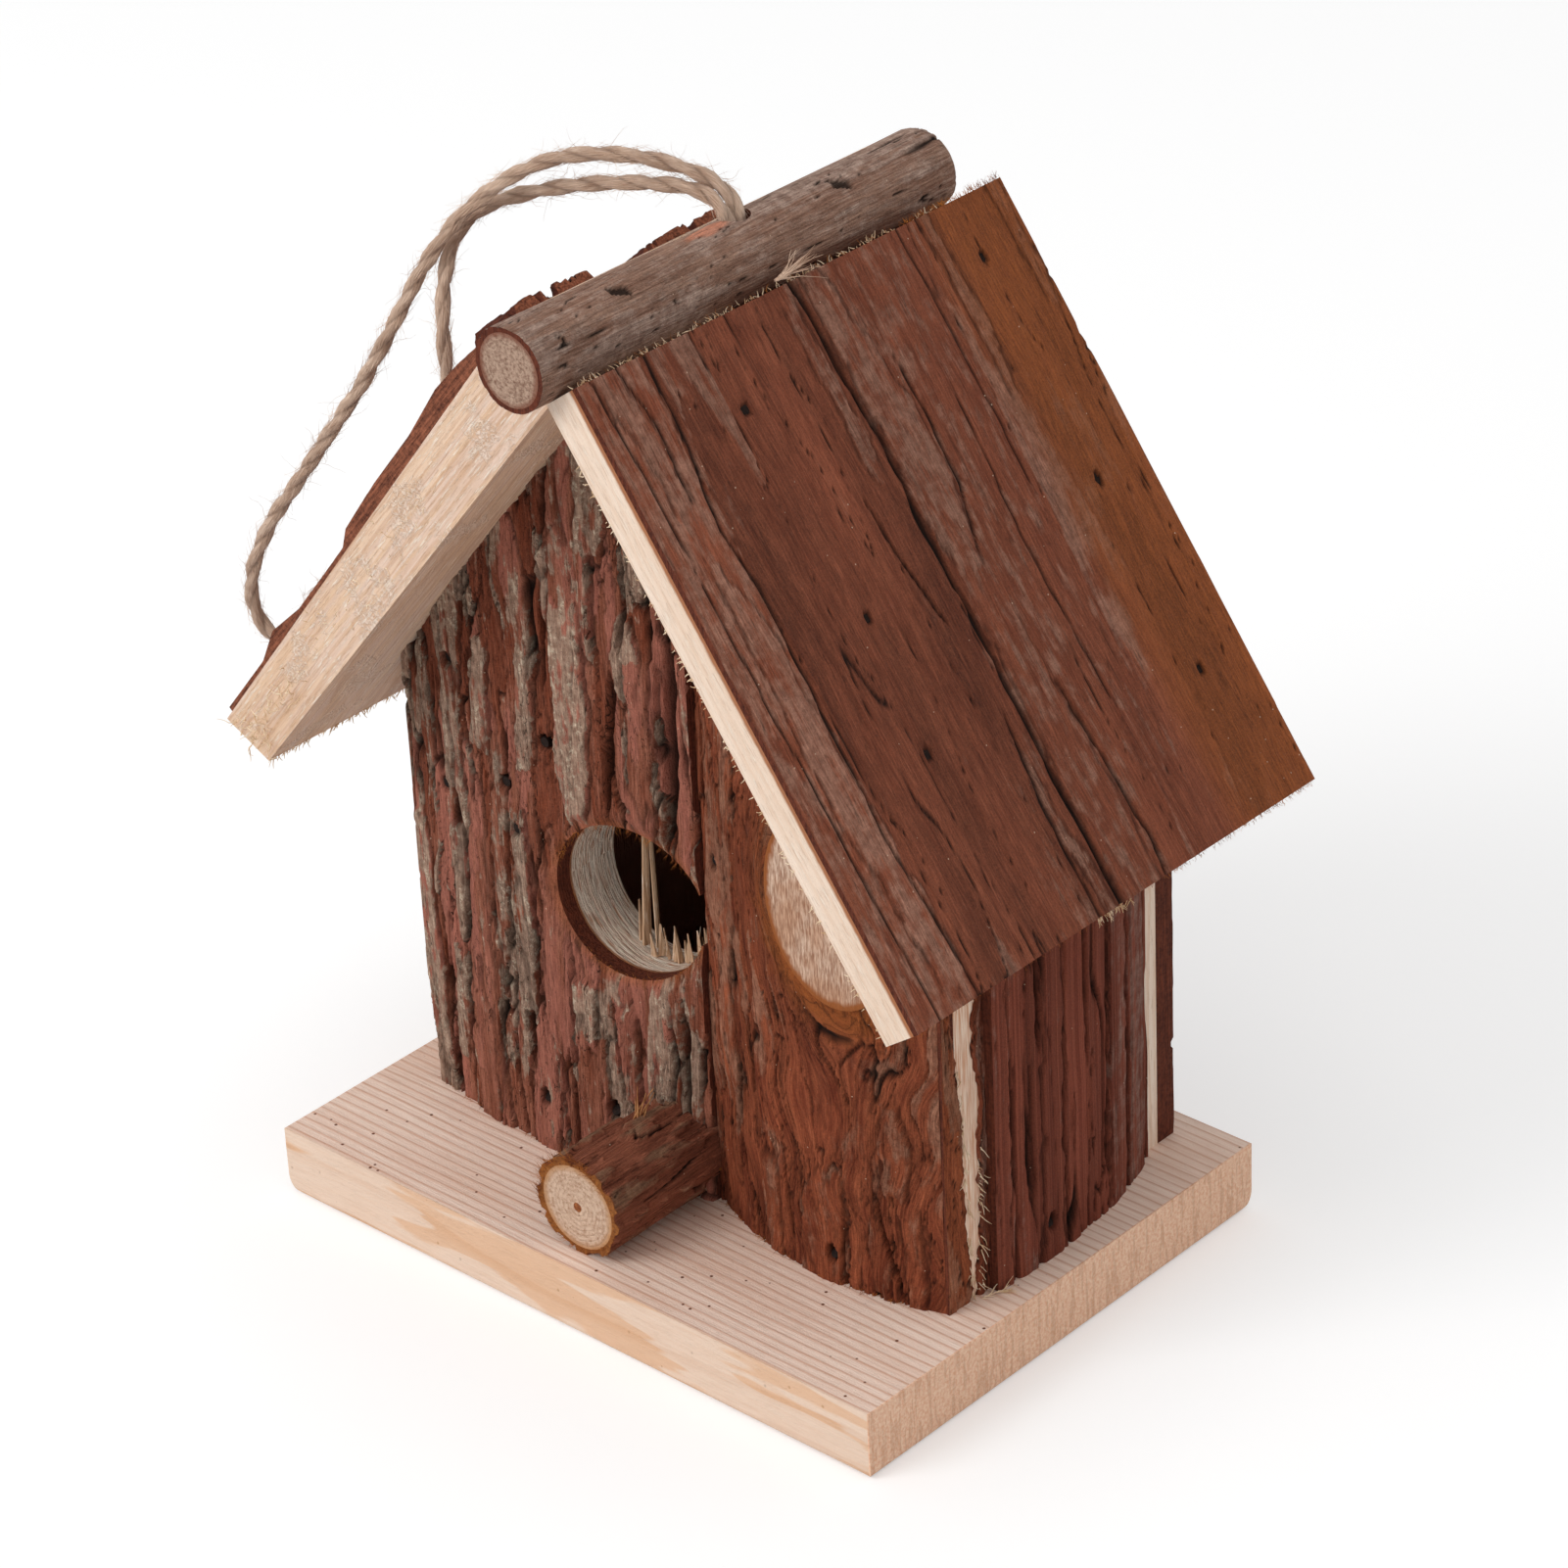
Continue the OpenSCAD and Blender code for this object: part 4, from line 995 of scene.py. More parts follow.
def wrapped(frames, sides, radius_at, name, materials, nodes=()):
    """A closed tube of rings along frames; radius_at gives the radius and the groove per angle, the
    groove kept in the 'crack' layer for painted shade.
    """
    bm = bmesh.new()
    steps = len(frames) - 1
    bmesh.ops.create_grid(bm, x_segments=sides, y_segments=steps, size=0.5)
    groove_shade_layer = bm.verts.layers.float.new("crack")
    chart = bm.loops.layers.uv.new("grain")
    spots = {}
    for vert in bm.verts:
        column = round((vert.co.x + 0.5) * sides)
        row = round((vert.co.y + 0.5) * steps)
        point, side, other = frames[row]
        angle = 2 * math.pi * column / sides
        radius, groove_shade = radius_at(angle % (2 * math.pi), row)
        spots[vert] = (column, row)
        vert[groove_shade_layer] = groove_shade
        vert.co = (point + radius * (side * math.cos(angle) + other * math.sin(angle))) * MM
    step_length = (frames[1][0] - frames[0][0]).length
    for face in bm.faces:
        face.smooth = True
        for loop in face.loops:
            column, row = spots[loop.vert]
            loop[chart].uv = (column * 8.5 / sides, row * step_length)
    bmesh.ops.remove_doubles(bm, verts=bm.verts, dist=1e-7)
    rims = [edge for edge in bm.edges if edge.is_boundary]
    bmesh.ops.holes_fill(bm, edges=rims, sides=0)
    bmesh.ops.recalc_face_normals(bm, faces=bm.faces)
    return mesh_object(name, bm, materials, nodes)


def hair_curves(name, hairs, thickness, material, nodes=()):
    """Loose fibres as one curve: each hair a list of points that thins to its tip."""
    data = bpy.data.curves.new(name, "CURVE")
    data.dimensions = "3D"
    data.bevel_depth = thickness / 2 * MM
    data.bevel_resolution = 0
    data.use_fill_caps = True
    for points in hairs:
        spline = data.splines.new("POLY")
        spline.points.add(len(points) - 1)
        for i, point in enumerate(points):
            spline.points[i].co = (*(Vector(point) * MM), 1)
            spline.points[i].radius = mix(1.0, 0.35, i / (len(points) - 1))
    return finished(bpy.data.objects.new(name, data), [material], nodes)


def jittered(rng, reach):
    return Vector([rng.uniform(-reach, reach) for _ in range(3)])


def curl(start, direction, length, bend, rng, steps=5):
    """One hair from a start, which wanders as it goes."""
    direction = Vector(direction).normalized()
    points = [Vector(start)]
    for _ in range(steps):
        direction += jittered(rng, bend)
        direction.normalize()
        points.append(points[-1] + direction * (length / steps))
    return points


# The twine
class BIRDHOUSE_OT_twine(bpy.types.Operator):
    """Lays the two-ply twine with its loose hairs, its knot and its frayed end"""
    bl_idname = "birdhouse.twine"
    bl_label = "Twine loop"

    def execute(self, context):
        looks = context.scene.birdhouse_twine
        jute = twine_material("jute", looks.light, looks.dark)
        fuzz = hair_material("jute hair", looks.light, looks.dark)
        diameter = looks.diameter / MM
        turn = looks.turn / MM
        step_length = 0.5
        frames, length = even_route(smooth_route(TWINE_ROUTE, 12), step_length)
        ply = PLY_RADIUS * diameter
        apart = PLY_OFFSET * ply
        step_length = length / (len(frames) - 1)

        def two_plies(angle, row):
            along = row * step_length
            phase = 2 * math.pi * along / turn + 0.8 * wave(along / 30, 0, 5)
            best = 0
            lobe = 0
            for half in (0, math.pi):
                off = angle - phase - half
                inside = ply * ply - (apart * math.sin(off)) ** 2
                if inside > 0:
                    reach = apart * math.cos(off) + math.sqrt(inside)
                    if reach > best:
                        best = reach
                        lobe = off
            yarn = math.sin(7 * lobe + 2 * math.pi * along / (0.42 * turn))
            radius = best + 0.04 * yarn + 0.1 * wave(angle * 2, along / 1.5, 9)
            radius += 0.14 * wave(angle, along / 6, 13)
            # The second value marks the groove between the plies, which the jute paints darker as
            # shade.
            return radius, ramp(1.1, 1.57, abs(math.remainder(lobe, 2 * math.pi)))

        loop = wrapped(frames, TWINE_SIDES, two_plies, "twine", [jute], ["twine_loop"])
        rng = random.Random(4)
        hairs = []
        for _ in range(looks.hairs):
            row = rng.randrange(2, len(frames) - 2)
            point, side, other = frames[row]
            angle = rng.uniform(0, 2 * math.pi)
            out = side * math.cos(angle) + other * math.sin(angle)
            ahead = (frames[row + 1][0] - frames[row - 1][0]).normalized()
            if rng.random() < 0.7:
                lean = rng.choice((-1, 1)) * rng.uniform(3, 8)
                hairs.append(curl(point + out * 1.15, out + ahead * lean,
                                  rng.uniform(2, 5), 0.16, rng))
            else:
                lean = rng.choice((-1, 1)) * rng.uniform(0.5, 3)
                far = rng.uniform(1.2, 4.2) * (1.7 if rng.random() < 0.2 else 1)
                hairs.append(curl(point + out, out * 0.7 + ahead * lean, far, 0.45, rng))
        fluff = hair_curves("twine_hairs", hairs, 0.07, fuzz)
        self.knot(jute)
        self.tail(fuzz, rng)
        [point * MM for point, _, _ in frames]
        return {"FINISHED"}

    def knot(self, jute):
        """The knot under the ridge log and the strands through it."""
        lean = Matrix.Rotation(math.radians(-10), 3, "Y")
        centre = Vector((RIDGE[0], -2, RIDGE[2]))
        drop = 14.7
        turns = [Vector((0.0, -1.5, 3.9)), Vector((0.0, -1.5, -8)), Vector((0.3, -1.3, -11.6))]
        for k in range(15):
            angle = math.radians(-90 + k * 50)
            wide = 2.3 - 0.04 * k
            rise = -drop + 1.3 * math.sin(k * 0.9)
            turns.append(Vector((wide * math.cos(angle), wide * math.sin(angle), rise)))
        turns += [Vector((0.3, 1.3, -11.6)), Vector((0.0, 1.5, -8)), Vector((0.0, 1.5, 3.9))]
        route = smooth_route([centre + lean @ point for point in turns], 6)
        frames, _ = even_route(route, 0.8)

        def strand(angle, row):
            return 1.3 + 0.12 * math.sin(2 * angle + row * 0.9) + 0.06 * wave(
                angle, row / 3, 3), 0.0
        wrapped(frames, 12, strand, "twine_knot_turns", [jute], ["twine_knot"])

    def tail(self, fuzz, rng):
        """The frayed end that stands up between the log and the right roof."""
        start = Vector(on_right_roof(-4.6, RIGHT_LENGTH, RIGHT_BARK)) + Vector((-0.6, 0, 0.9))
        hairs = []
        for _ in range(46):
            base = start + Vector((rng.uniform(-0.5, 0.5), rng.uniform(-0.6, 3), 0.2))
            aim = Vector((rng.uniform(-0.1, 0.35), 1, rng.uniform(0.05, 0.5)))
            hairs.append(curl(base, aim, rng.uniform(3, 9), 0.22, rng))
        hair_curves("twine_end", hairs, 0.22, fuzz, ["twine_tail"])


# The stage
class BIRDHOUSE_OT_stage(bpy.types.Operator):
    """Sets the camera, the lamps, the pale floor and the white surroundings"""
    bl_idname = "birdhouse.stage"
    bl_label = "Camera and studio"

    def execute(self, context):
        self.camera(context)
        self.lamps(context)
        self.floor(context)
        self.world(context)
        context.scene.view_settings.view_transform = "Standard"
        return {"FINISHED"}

    def camera(self, context):
        looks = context.scene.birdhouse_view
        azimuth, elevation, roll = looks.azimuth, looks.elevation, looks.roll
        back = Vector((math.sin(azimuth) * math.cos(elevation),
                       -math.cos(azimuth) * math.cos(elevation), math.sin(elevation)))
        level = Vector((0, 0, 1)).cross(back).normalized()
        upright = back.cross(level)
        right = level * math.cos(roll) + upright * math.sin(roll)
        up = upright * math.cos(roll) - level * math.sin(roll)
        data = bpy.data.cameras.new("camera")
        data.sensor_width = 36
        data.sensor_fit = "HORIZONTAL"
        data.lens = looks.lens
        data.clip_start = 0.05
        data.clip_end = 50
        camera = bpy.data.objects.new("camera", data)
        place = back * looks.distance + right * looks.aim_side + up * looks.aim_up
        camera.matrix_world = Matrix.Translation(place) @ Matrix(
            (right, up, back)).transposed().to_4x4()
        context.scene.collection.objects.link(camera)
        context.scene.camera = camera

    def lamps(self, context):
        looks = context.scene.birdhouse_light
        aim = Vector((0, 0, 0.1))
        for name, power, size, place in (
                ("key", looks.key, 0.9, (-0.55, -1.35, 1.15)),
                ("top", looks.top, 1.2, (0.2, -0.1, 1.7))):
            data = bpy.data.lights.new(name, "AREA")
            data.energy = power
            data.size = size
            lamp = bpy.data.objects.new(name, data)
            lamp.location = place
            lamp.rotation_euler = (aim - lamp.location).to_track_quat("-Z", "Y").to_euler()
            context.scene.collection.objects.link(lamp)

    def floor(self, context):
        looks = context.scene.birdhouse_light
        bm = bmesh.new()
        bmesh.ops.create_grid(bm, x_segments=1, y_segments=1, size=40)
        mesh = bpy.data.meshes.new("floor")
        bm.to_mesh(mesh)
        bm.free()
        floor = bpy.data.objects.new("floor", mesh)
        context.scene.collection.objects.link(floor)
        material, tree = new_material("floor")
        seen = made(tree, "ShaderNodeLightPath", out="Is Camera Ray")
        coat(material, Base_Color=looks.floor, Roughness=0.9, Specular_IOR_Level=0.1,
             Emission_Color=(1, 1, 1, 1), Emission_Strength=seen * looks.lift)
        mesh.materials.append(material)

    def world(self, context):
        looks = context.scene.birdhouse_light
        world = bpy.data.worlds.new("studio")
        world.use_nodes = True
        tree = world.node_tree
        camera, glossy, through = (
            made(tree, "ShaderNodeLightPath", out=f"Is {ray} Ray")
            for ray in ("Camera", "Glossy", "Transmission"))
        seen = camera.most(glossy.most(through))
        back = tree.nodes["Background"]
        back.inputs["Color"].default_value = (1, 1, 1, 1)
        fill(tree, back.inputs["Strength"], seen * (1 - looks.sky) + looks.sky)
        context.scene.world = world


# Bark pieces. Seams and flakes are laid out as in Bark, in millimetres
def bark_piece(name, bm, looks, node, edge="cut bark"):
    """Makes a bmesh a piece of bark that stands in for a node, with its cut edge's finish."""
    finish = barks()
    mesh_object(name, bm, [finish[looks], finish[edge]], [node])


def barks():
    """The bark finishes, made once."""
    looks = bpy.context.scene.birdhouse_bark
    if "grooved bark" in bpy.data.materials:
        return {name: bpy.data.materials[name] for name in (
            "grooved bark", "knotty bark", "dark bark", "roof bark", "cut bark",
            "sloped cut bark")}
    made = [
        bark_material("grooved bark", looks.red, looks.deep_red, looks.grey, looks.deep_grey,
                      flaky=1.5, lichen=0.6, mauve=0.5, crisp=1.0),
        bark_material("knotty bark", linear(166, 92, 62), linear(98, 42, 27),
                      linear(166, 116, 92), linear(122, 76, 58), fibre=0.42, flaky=0.7),
        bark_material("dark bark", linear(152, 84, 64), linear(98, 45, 34),
                      linear(160, 120, 106), linear(118, 80, 68), flaky=0.6),
        bark_material("roof bark", linear(150, 86, 62), linear(110, 56, 38),
                      linear(168, 120, 100), linear(122, 82, 66), warm=linear(158, 88, 44),
                      rough=0.75, fibre=0.38, gloss=0.15, scale=1.3, flaky=0.12),
        cut_bark_material("cut bark", linear(120, 60, 40), linear(60, 26, 17),
                          grain_turn((1, 0, 0), (0, 0, 1))),
        cut_bark_material("sloped cut bark", linear(172, 104, 76), linear(58, 26, 18),
                          grain_turn(LEFT_OUT, LEFT_UP)),
    ]
    return {material.name: material for material in made}


FRONT_PINS = [(-24, 104.7), (-34.9, 92.7), (-32.8, 83.4), (-49, 113.7), (-53.2, 85.2)]
FRONT_TOES = [(-29.5, 25.6), (-12.8, 28.6)]
FRONT_LEFT_SEAMS = [
    ([(150.4, -19.5), (158, -18.8), (168, -18)], 2.4, 3.2),
    ([(144, -22), (147, -20.4), (151, -19.4)], 1.6, 2.6),
    ([(128, -4.3), (139, -3.6), (149, -3)], 2.8, 3.4),
    ([(92, -10.2), (108, -8.8), (124.5, -7.6)], 2.6, 3.4),
    ([(115, -23.6), (125, -22.6), (136, -21.8)], 2.3, 3.2),
    ([(87, -35), (106, -33)], 1.0, 2.0),
    ([(88, 2.4), (110, 3.6), (140, 4.6), (166, 5.4)], 3.8, 3.4),
    ([(12, -56.2), (16.7, -56.4), (26.6, -56.9), (46, -56.8)], 2.6, 3.6),
    ([(33, -57.8), (54, -58.3)], 1.2, 2.4),
    ([(62, -51.7), (77, -52.2)], 1.3, 2.6),
    ([(16, -51.4), (41.5, -50.4), (72, -46.9)], 1.2, 2.6),
    ([(57, -29.4), (82, -28.8)], 1.4, 2.8),
    ([(42, -28.5), (64, -30.4)], 1.0, 2.2),
    ([(12, -35.8), (22.9, -36.4), (28.4, -37.6), (41, -37)], 1.5, 3.2),
    ([(28, -32.1), (40, -32.4)], 1.2, 2.4),
    ([(12, -22.6), (30.3, -22.6), (40, -22.4)], 1.9, 3.4),
    ([(30, -9.8), (43, -10.1), (54, -11.6)], 1.8, 3.2),
    ([(12, 4.4), (34, 3.6), (58, 4.0)], 2.6, 3.2),
    ([(120, -44), (138, -42)], 1.0, 2.0),
    ([(12, -43), (24, -42.6)], 1.0, 2.2),
    ([(98, -56), (112, -55)], 1.1, 2.2),
]
FRONT_LEFT_FLAKES = [
    ([(130, -15.5, 5), (150, -14.5, 4.6), (172, -13, 4.5)], 0.7, 0.5, 0.15),
    ([(122, -3.6, 2.4), (128, -3.6, 3.6), (134, -3.4, 2)], 1.0, 0.95, 0.7),
    ([(88, -50, 3), (112, -48.5, 3), (140, -46, 3)], 0.5, 0.8, 0.1),
    ([(100, -41, 2.6), (119, -39.5, 2.6)], 0.6, 0.9, 0.15),
    ([(100, -28.6, 2), (121, -27, 2.2)], 0.6, 0.9, 0.1),
    ([(92, -16.8, 2.6), (100, -17.2, 3.8), (112, -16.8, 4.2), (124, -16.2, 4.2),
      (134, -16.4, 3.4)], 0.9, 0.9, 0.5),
    ([(134, -20.6, 1.2), (146, -20.4, 1.6)], 0.6, 0.95, 0.4),
    ([(150, -9.5, 2.6), (168, -8.6, 2.8)], 0.9, 0.9, 0.2),
    ([(92, -2.4, 2.6), (108, -1.6, 2.8), (125, -0.8, 2.8)], 0.6, 0.1, 0.15),
    ([(16, -60.4, 3), (42, -62.2, 3.2), (72, -63.4, 3)], 0.5, 0.9, 0.4),
    ([(58, -49.8, 2), (76, -49.6, 2.4)], 0.7, 0.85, 0.35),
    ([(15, -44.5, 4.4), (28, -45.4, 4.6), (57, -44.3, 4.2), (76, -43.4, 3.4)],
     0.5, 0.12, 0.0),
    ([(46, -40, 1.4), (70, -38, 2.2), (100, -36, 2.2)], 0.3, 0.55, 0.0),
    ([(45, -32.9, 2.4), (66, -32.3, 2.6), (86, -32.2, 2)], 0.4, 0.95, -0.1),
    ([(39, -24.8, 3.6), (58, -24.1, 3.8), (76, -24, 2.6)], 0.8, 0.05, 0.25),
    ([(27, -54, 2.2), (47, -52.4, 2.2)], 0.3, 0.9, -0.15),
    ([(29, -34.7, 1.4), (42, -34.3, 1.6)], 0.5, 0.7, 0.15),
    ([(15, -30, 3.6), (38, -27.6, 3.2)], 0.4, 0.25, 0.1),
    ([(43, -18.4, 3), (53.5, -17.7, 3)], 0.9, 0.95, 0.5),
    ([(18, -17.4, 4), (42, -17, 3.6)], 0.6, 0.2, 0.12),
    ([(35, -8, 2.2), (49, -8.4, 2.2)], 0.9, 0.3, 0.15),
]


class BIRDHOUSE_OT_front_left_bark(bpy.types.Operator):
    """Grows the deeply grooved bark of the left front slab round the entry hole"""
    bl_idname = "birdhouse.front_left_bark"
    bl_label = "Left front bark"

    def execute(self, context):
        pits = [(x, z, 1.5, 1.6, 1.9) for x, z in FRONT_PINS]
        pits.append((FRONT_PINS[0][0] + 1.2, FRONT_PINS[0][1], 1.5, 1.3, 1.9))
        pits += [(x, z + 0.4, 1.3, 2.1, 2.2) for x, z in FRONT_TOES]
        bark = Bark(3.5, FRONT_BARK - 0.25, plate=(5.2, 48), lift=1.2, crack=1.9, width=0.085,
                    grey=0.44, wander=1.8, rough=0.11, seams=FRONT_LEFT_SEAMS,
                    flakes=FRONT_LEFT_FLAKES, pits=pits, warm=bored, fissure=0.75)
        cell = cells(0.8)
        bm = sheet_blank((FRONT_LEFT_EDGE, FRONT_JOINT), (BASE_TOP, GABLE_TOP), cell)
        trim_under_roof(bm)
        bore(bm, ENTRY, ENTRY_RADIUS, ENTRY_RADIUS, cell, FRONT_JOINT)

        def lip(u, v, height):
            """The bored edge is calm and a little rounded."""
            off = math.hypot(u - ENTRY.x, v - ENTRY.y) - ENTRY_RADIUS
            return mix(FRONT_BARK - 1.0 + 0.4 * ramp(0, 1.2, off), height, ramp(0.4, 3.2, off))
        thicken(bm, bark, on_front(*LEFT_ROUND), cell, grow=lip)
        bark_piece("front_left_grooved_bark", bm, "grooved bark", "front_left_bark")
        return {"FINISHED"}


def bored(u, v):
    """The bark is orange-brown and fuzzy right at the bored edge."""
    return 0.5 * (1 - ramp(0.3, 2.2, math.hypot(u - ENTRY.x, v - ENTRY.y) - ENTRY_RADIUS))


def resin(u, v):
    """Amber resin round the knot, most of all below it."""
    off = math.hypot((u - KNOT.x) / KNOT_HALF[0], (v - KNOT.y) / KNOT_HALF[1])
    below = 0.35 + 0.65 * ramp(6, -14, v - KNOT.y)
    return below * (1 - ramp(1.05, 1.6, off + 0.15 * wave(u / 3, v / 3, 5)))


def round_knot(u, v):
    """The grain's own place across, which flows round the knot."""
    x = u - KNOT.x
    z = (v - KNOT.y) * 0.72
    spread = 1 - 15 * 15 / max(16 * 16, x * x + z * z)
    swirl = 3 * ramp(118, 88, v) * wave(u / 11, v / 15, 77)
    return KNOT.x + x * spread + swirl


FRONT_RIGHT_SEAMS = [
    ([(47, 23.2), (56, 22.5)], 0.9, 1.8),
    ([(37, 18.2), (41.9, 18.6), (50.5, 19)], 1.9, 2.8),
    ([(26, 19.6), (39, 16.7)], 0.9, 2.0),
    ([(14, 57.8), (27.1, 55), (38, 52.6)], 1.5, 3.0),
    ([(14, 24.2), (24, 21.4)], 1.4, 2.6),
    ([(12, 46), (22, 45), (30, 46.4)], 0.8, 1.8),
    ([(20, 33), (40, 31)], 0.7, 1.4),
    ([(44, 13), (66, 10.6)], 0.8, 1.8),
    ([(96, 10.4), (118, 10.8)], 1.6, 2.4),
]
FRONT_RIGHT_FLAKES = [
    ([(47, 17, 1.8), (59, 15.2, 2.2), (79, 17, 2.0)], 0.5, 0.75, 0.4),
    ([(40, 57, 2.4), (49, 57.5, 2.8), (55, 56.6, 1.6)], 0.7, 0.5, -0.1),
    ([(14.5, 40, 5), (30, 41, 5.5), (36, 42, 4)], 0.5, 0.15, 0.15),
    ([(15, 28, 2.2), (33, 27, 2.4)], 0.4, 0.5, 0.1),
    ([(14.5, 61, 2), (34, 60, 2.2)], 0.4, 0.3, 0.0),
]


class BIRDHOUSE_OT_front_right_bark(bpy.types.Operator):
    """Grows the bark of the right front slab, which swirls round the sawn knot"""
    bl_idname = "birdhouse.front_right_bark"
    bl_label = "Right front bark"

    def execute(self, context):
        pits = [(13.1, 90.4, 1.25, 1.5, 1.7), (43, 20.8, 1.35, 2.1, 2.2)]
        bark = Bark(21.5, FRONT_BARK - 0.2, plate=(4.6, 34), lift=0.5, crack=0.9, width=0.05,
                    grey=0.2, wander=1.6, rough=0.13, seams=FRONT_RIGHT_SEAMS,
                    flakes=FRONT_RIGHT_FLAKES, pits=pits, flow=round_knot, warm=resin,
                    fissure=0.65)
        cell = cells(0.9)
        bm = sheet_blank((FRONT_JOINT + JOINT_GAP, FRONT_RIGHT_EDGE),
                         (BASE_TOP, GABLE_TOP), cell)
        trim_under_roof(bm)
        bore(bm, KNOT, KNOT_HALF[0], KNOT_HALF[1], cell)
        face = on_front(*RIGHT_ROUND)

        def collar(u, v, height):
            """The bark rises to a roll round the knot."""
            off = math.hypot((u - KNOT.x) / KNOT_HALF[0], (v - KNOT.y) / KNOT_HALF[1])
            level = KNOT_FACE - 0.7 + face(u, v, 0).y
            calm = mix(FRONT_BARK, height, ramp(1.0, 1.25, off))
            return mix(level, calm, ramp(1.0, 1.42, off)) + 0.4 * math.exp(
                -((off - 1.2) / 0.12) ** 2)
        thicken(bm, bark, face, cell, grow=collar)
        bark_piece("front_right_knotty_bark", bm, "knotty bark", "front_right_bark")
        return {"FINISHED"}


RIGHT_SIDE_SEAMS = [
    ([(14, 8.2), (44.5, 7.1), (104, 9.2)], 1.6, 2.4),
    ([(60, 0.2), (92, 0.8)], 1.8, 2.8),
    ([(8, -6.5), (64, -7.4)], 1.2, 1.8),
    ([(30, -1.5), (58, -2.4)], 0.9, 1.6),
    ([(50, 15), (100, 14)], 1.2, 2.0),
    ([(20, 21.5), (96, 22.4)], 1.5, 2.2),
    ([(8, 29), (56, 30)], 1.6, 2.4),
]
RIGHT_SIDE_FLAKES = [
    ([(10, 26, 3.4), (96, 26, 3.4)], 0.3, 0.5, -0.1),
    ([(10, 34, 4), (96, 34, 4)], 0.3, 0.65, 0.0),
    ([(14, 3.4, 3), (96, 4.4, 3)], 0.3, 0.0, -0.2),
    ([(14, -10.6, 2.6), (96, -10.6, 2.6)], 0.3, 0.0, 0.1),
]
LEFT_SIDE_SEAMS = [
    ([(20, 12), (80, 14)], 1.2, 2.4),
    ([(35, 28), (96, 27)], 1.0, 2.2),
    ([(14, -3), (56, -4)], 1.0, 2.0),
]
LEFT_SIDE_FLAKES = [
    ([(30, 4, 4), (70, 5, 4)], 0.5, 0.7, 0.1),
    ([(20, 33, 3), (80, 33, 3)], 0.4, 0.6, 0.1),
]


class BIRDHOUSE_OT_side_bark(bpy.types.Operator):
    """Grows the dark grooved bark of both side walls"""
    bl_idname = "birdhouse.side_bark"
    bl_label = "Side bark"

    def execute(self, context):
        for side, name, top, seed, seams, flakes in (
                (1, "right", 112.08, 40.5, RIGHT_SIDE_SEAMS, RIGHT_SIDE_FLAKES),
                (-1, "left", 102.67, 63.5, LEFT_SIDE_SEAMS, LEFT_SIDE_FLAKES)):
            height = top - BASE_TOP
            bark = SideBark(seed, SIDE_BARK, height, plate=(6.5, 140), lift=0.6, crack=1.2,
                            width=0.06, grey=-0.1, wander=0.8, rough=0.09, seams=seams,
                            flakes=flakes, fissure=0.3, pits=[(3, 22.2, 1.3, 2.1, 1.8)])
            cell = cells(1.1)
            bm = sheet_blank(WALL_SPAN, (0, 1), (cell[0], cell[1] / height))
            thicken(bm, bark, on_side(side), cell)
            bark_piece(f"{name}_wall_grooved_bark", bm, "dark bark", f"{name}_wall_bark")
        return {"FINISHED"}


class SideBark(Bark):
    """Side walls measure v as a share of the wall's height, and their marks from the ground."""
    def __init__(self, seed, thickness, height, **looks):
        super().__init__(seed, thickness, **looks)
        self.height = height
        for marks in (self.seams, self.flakes):
            marks[:] = [([(z - BASE_TOP, *rest) for z, *rest in points], *shape)
                        for points, *shape in marks]
        self.pits = [(u, z - BASE_TOP, *shape) for u, z, *shape in self.pits]

    def at(self, u, v):
        return super().at(u, v * self.height)


class BIRDHOUSE_OT_back_bark(bpy.types.Operator):
    """Grows the bark of the two back slabs"""
    bl_idname = "birdhouse.back_bark"
    bl_label = "Back bark"

    def execute(self, context):
        grooves = {
            "back_left": [(-10.8, 44, 164), (-21.1, 8, 78), (-30.2, 64, 154),
                          (-39.3, 8, 110), (-50.7, 8, 44), (-49.6, 58, 86)],
            "back_right": [(1.2, 8, 114), (10.3, 84, 174), (19.3, 8, 102), (29.7, 54, 164),
                           (40.1, 8, 126), (50.4, 8, 44), (49.1, 58, 86)],
        }
        for name, start, end, seed in (
                ("back_left", -BACK_EDGE, BACK_JOINT, 82.5),
                ("back_right", BACK_JOINT + JOINT_GAP, BACK_EDGE, 95.5)):
            crest = (start + end) / 2
            side = -53.25 if name == "back_left" else 57
            seams = [([(low, x), (high, x + 0.3)], 2.4, 3.0) for x, low, high in grooves[name]]
            pits = [(side, BASE_TOP + h, 1.25, 1.5, 1.7) for h in (34, 76)]
            bark = Bark(seed, BACK_BARK - 0.3, plate=(6.5, 50), lift=1.2, crack=1.9,
                        width=0.09, grey=0.5, wander=2.0, rough=0.15, seams=seams, pits=pits)
            cell = cells(1.4)
            bm = sheet_blank((start, end), (BASE_TOP, GABLE_TOP), cell)
            trim_under_roof(bm)
            thicken(bm, bark, on_back(crest), cell, keep=16)
            bark_piece(f"{name}_grooved_bark", bm, "dark bark", f"{name}_bark")
        return {"FINISHED"}


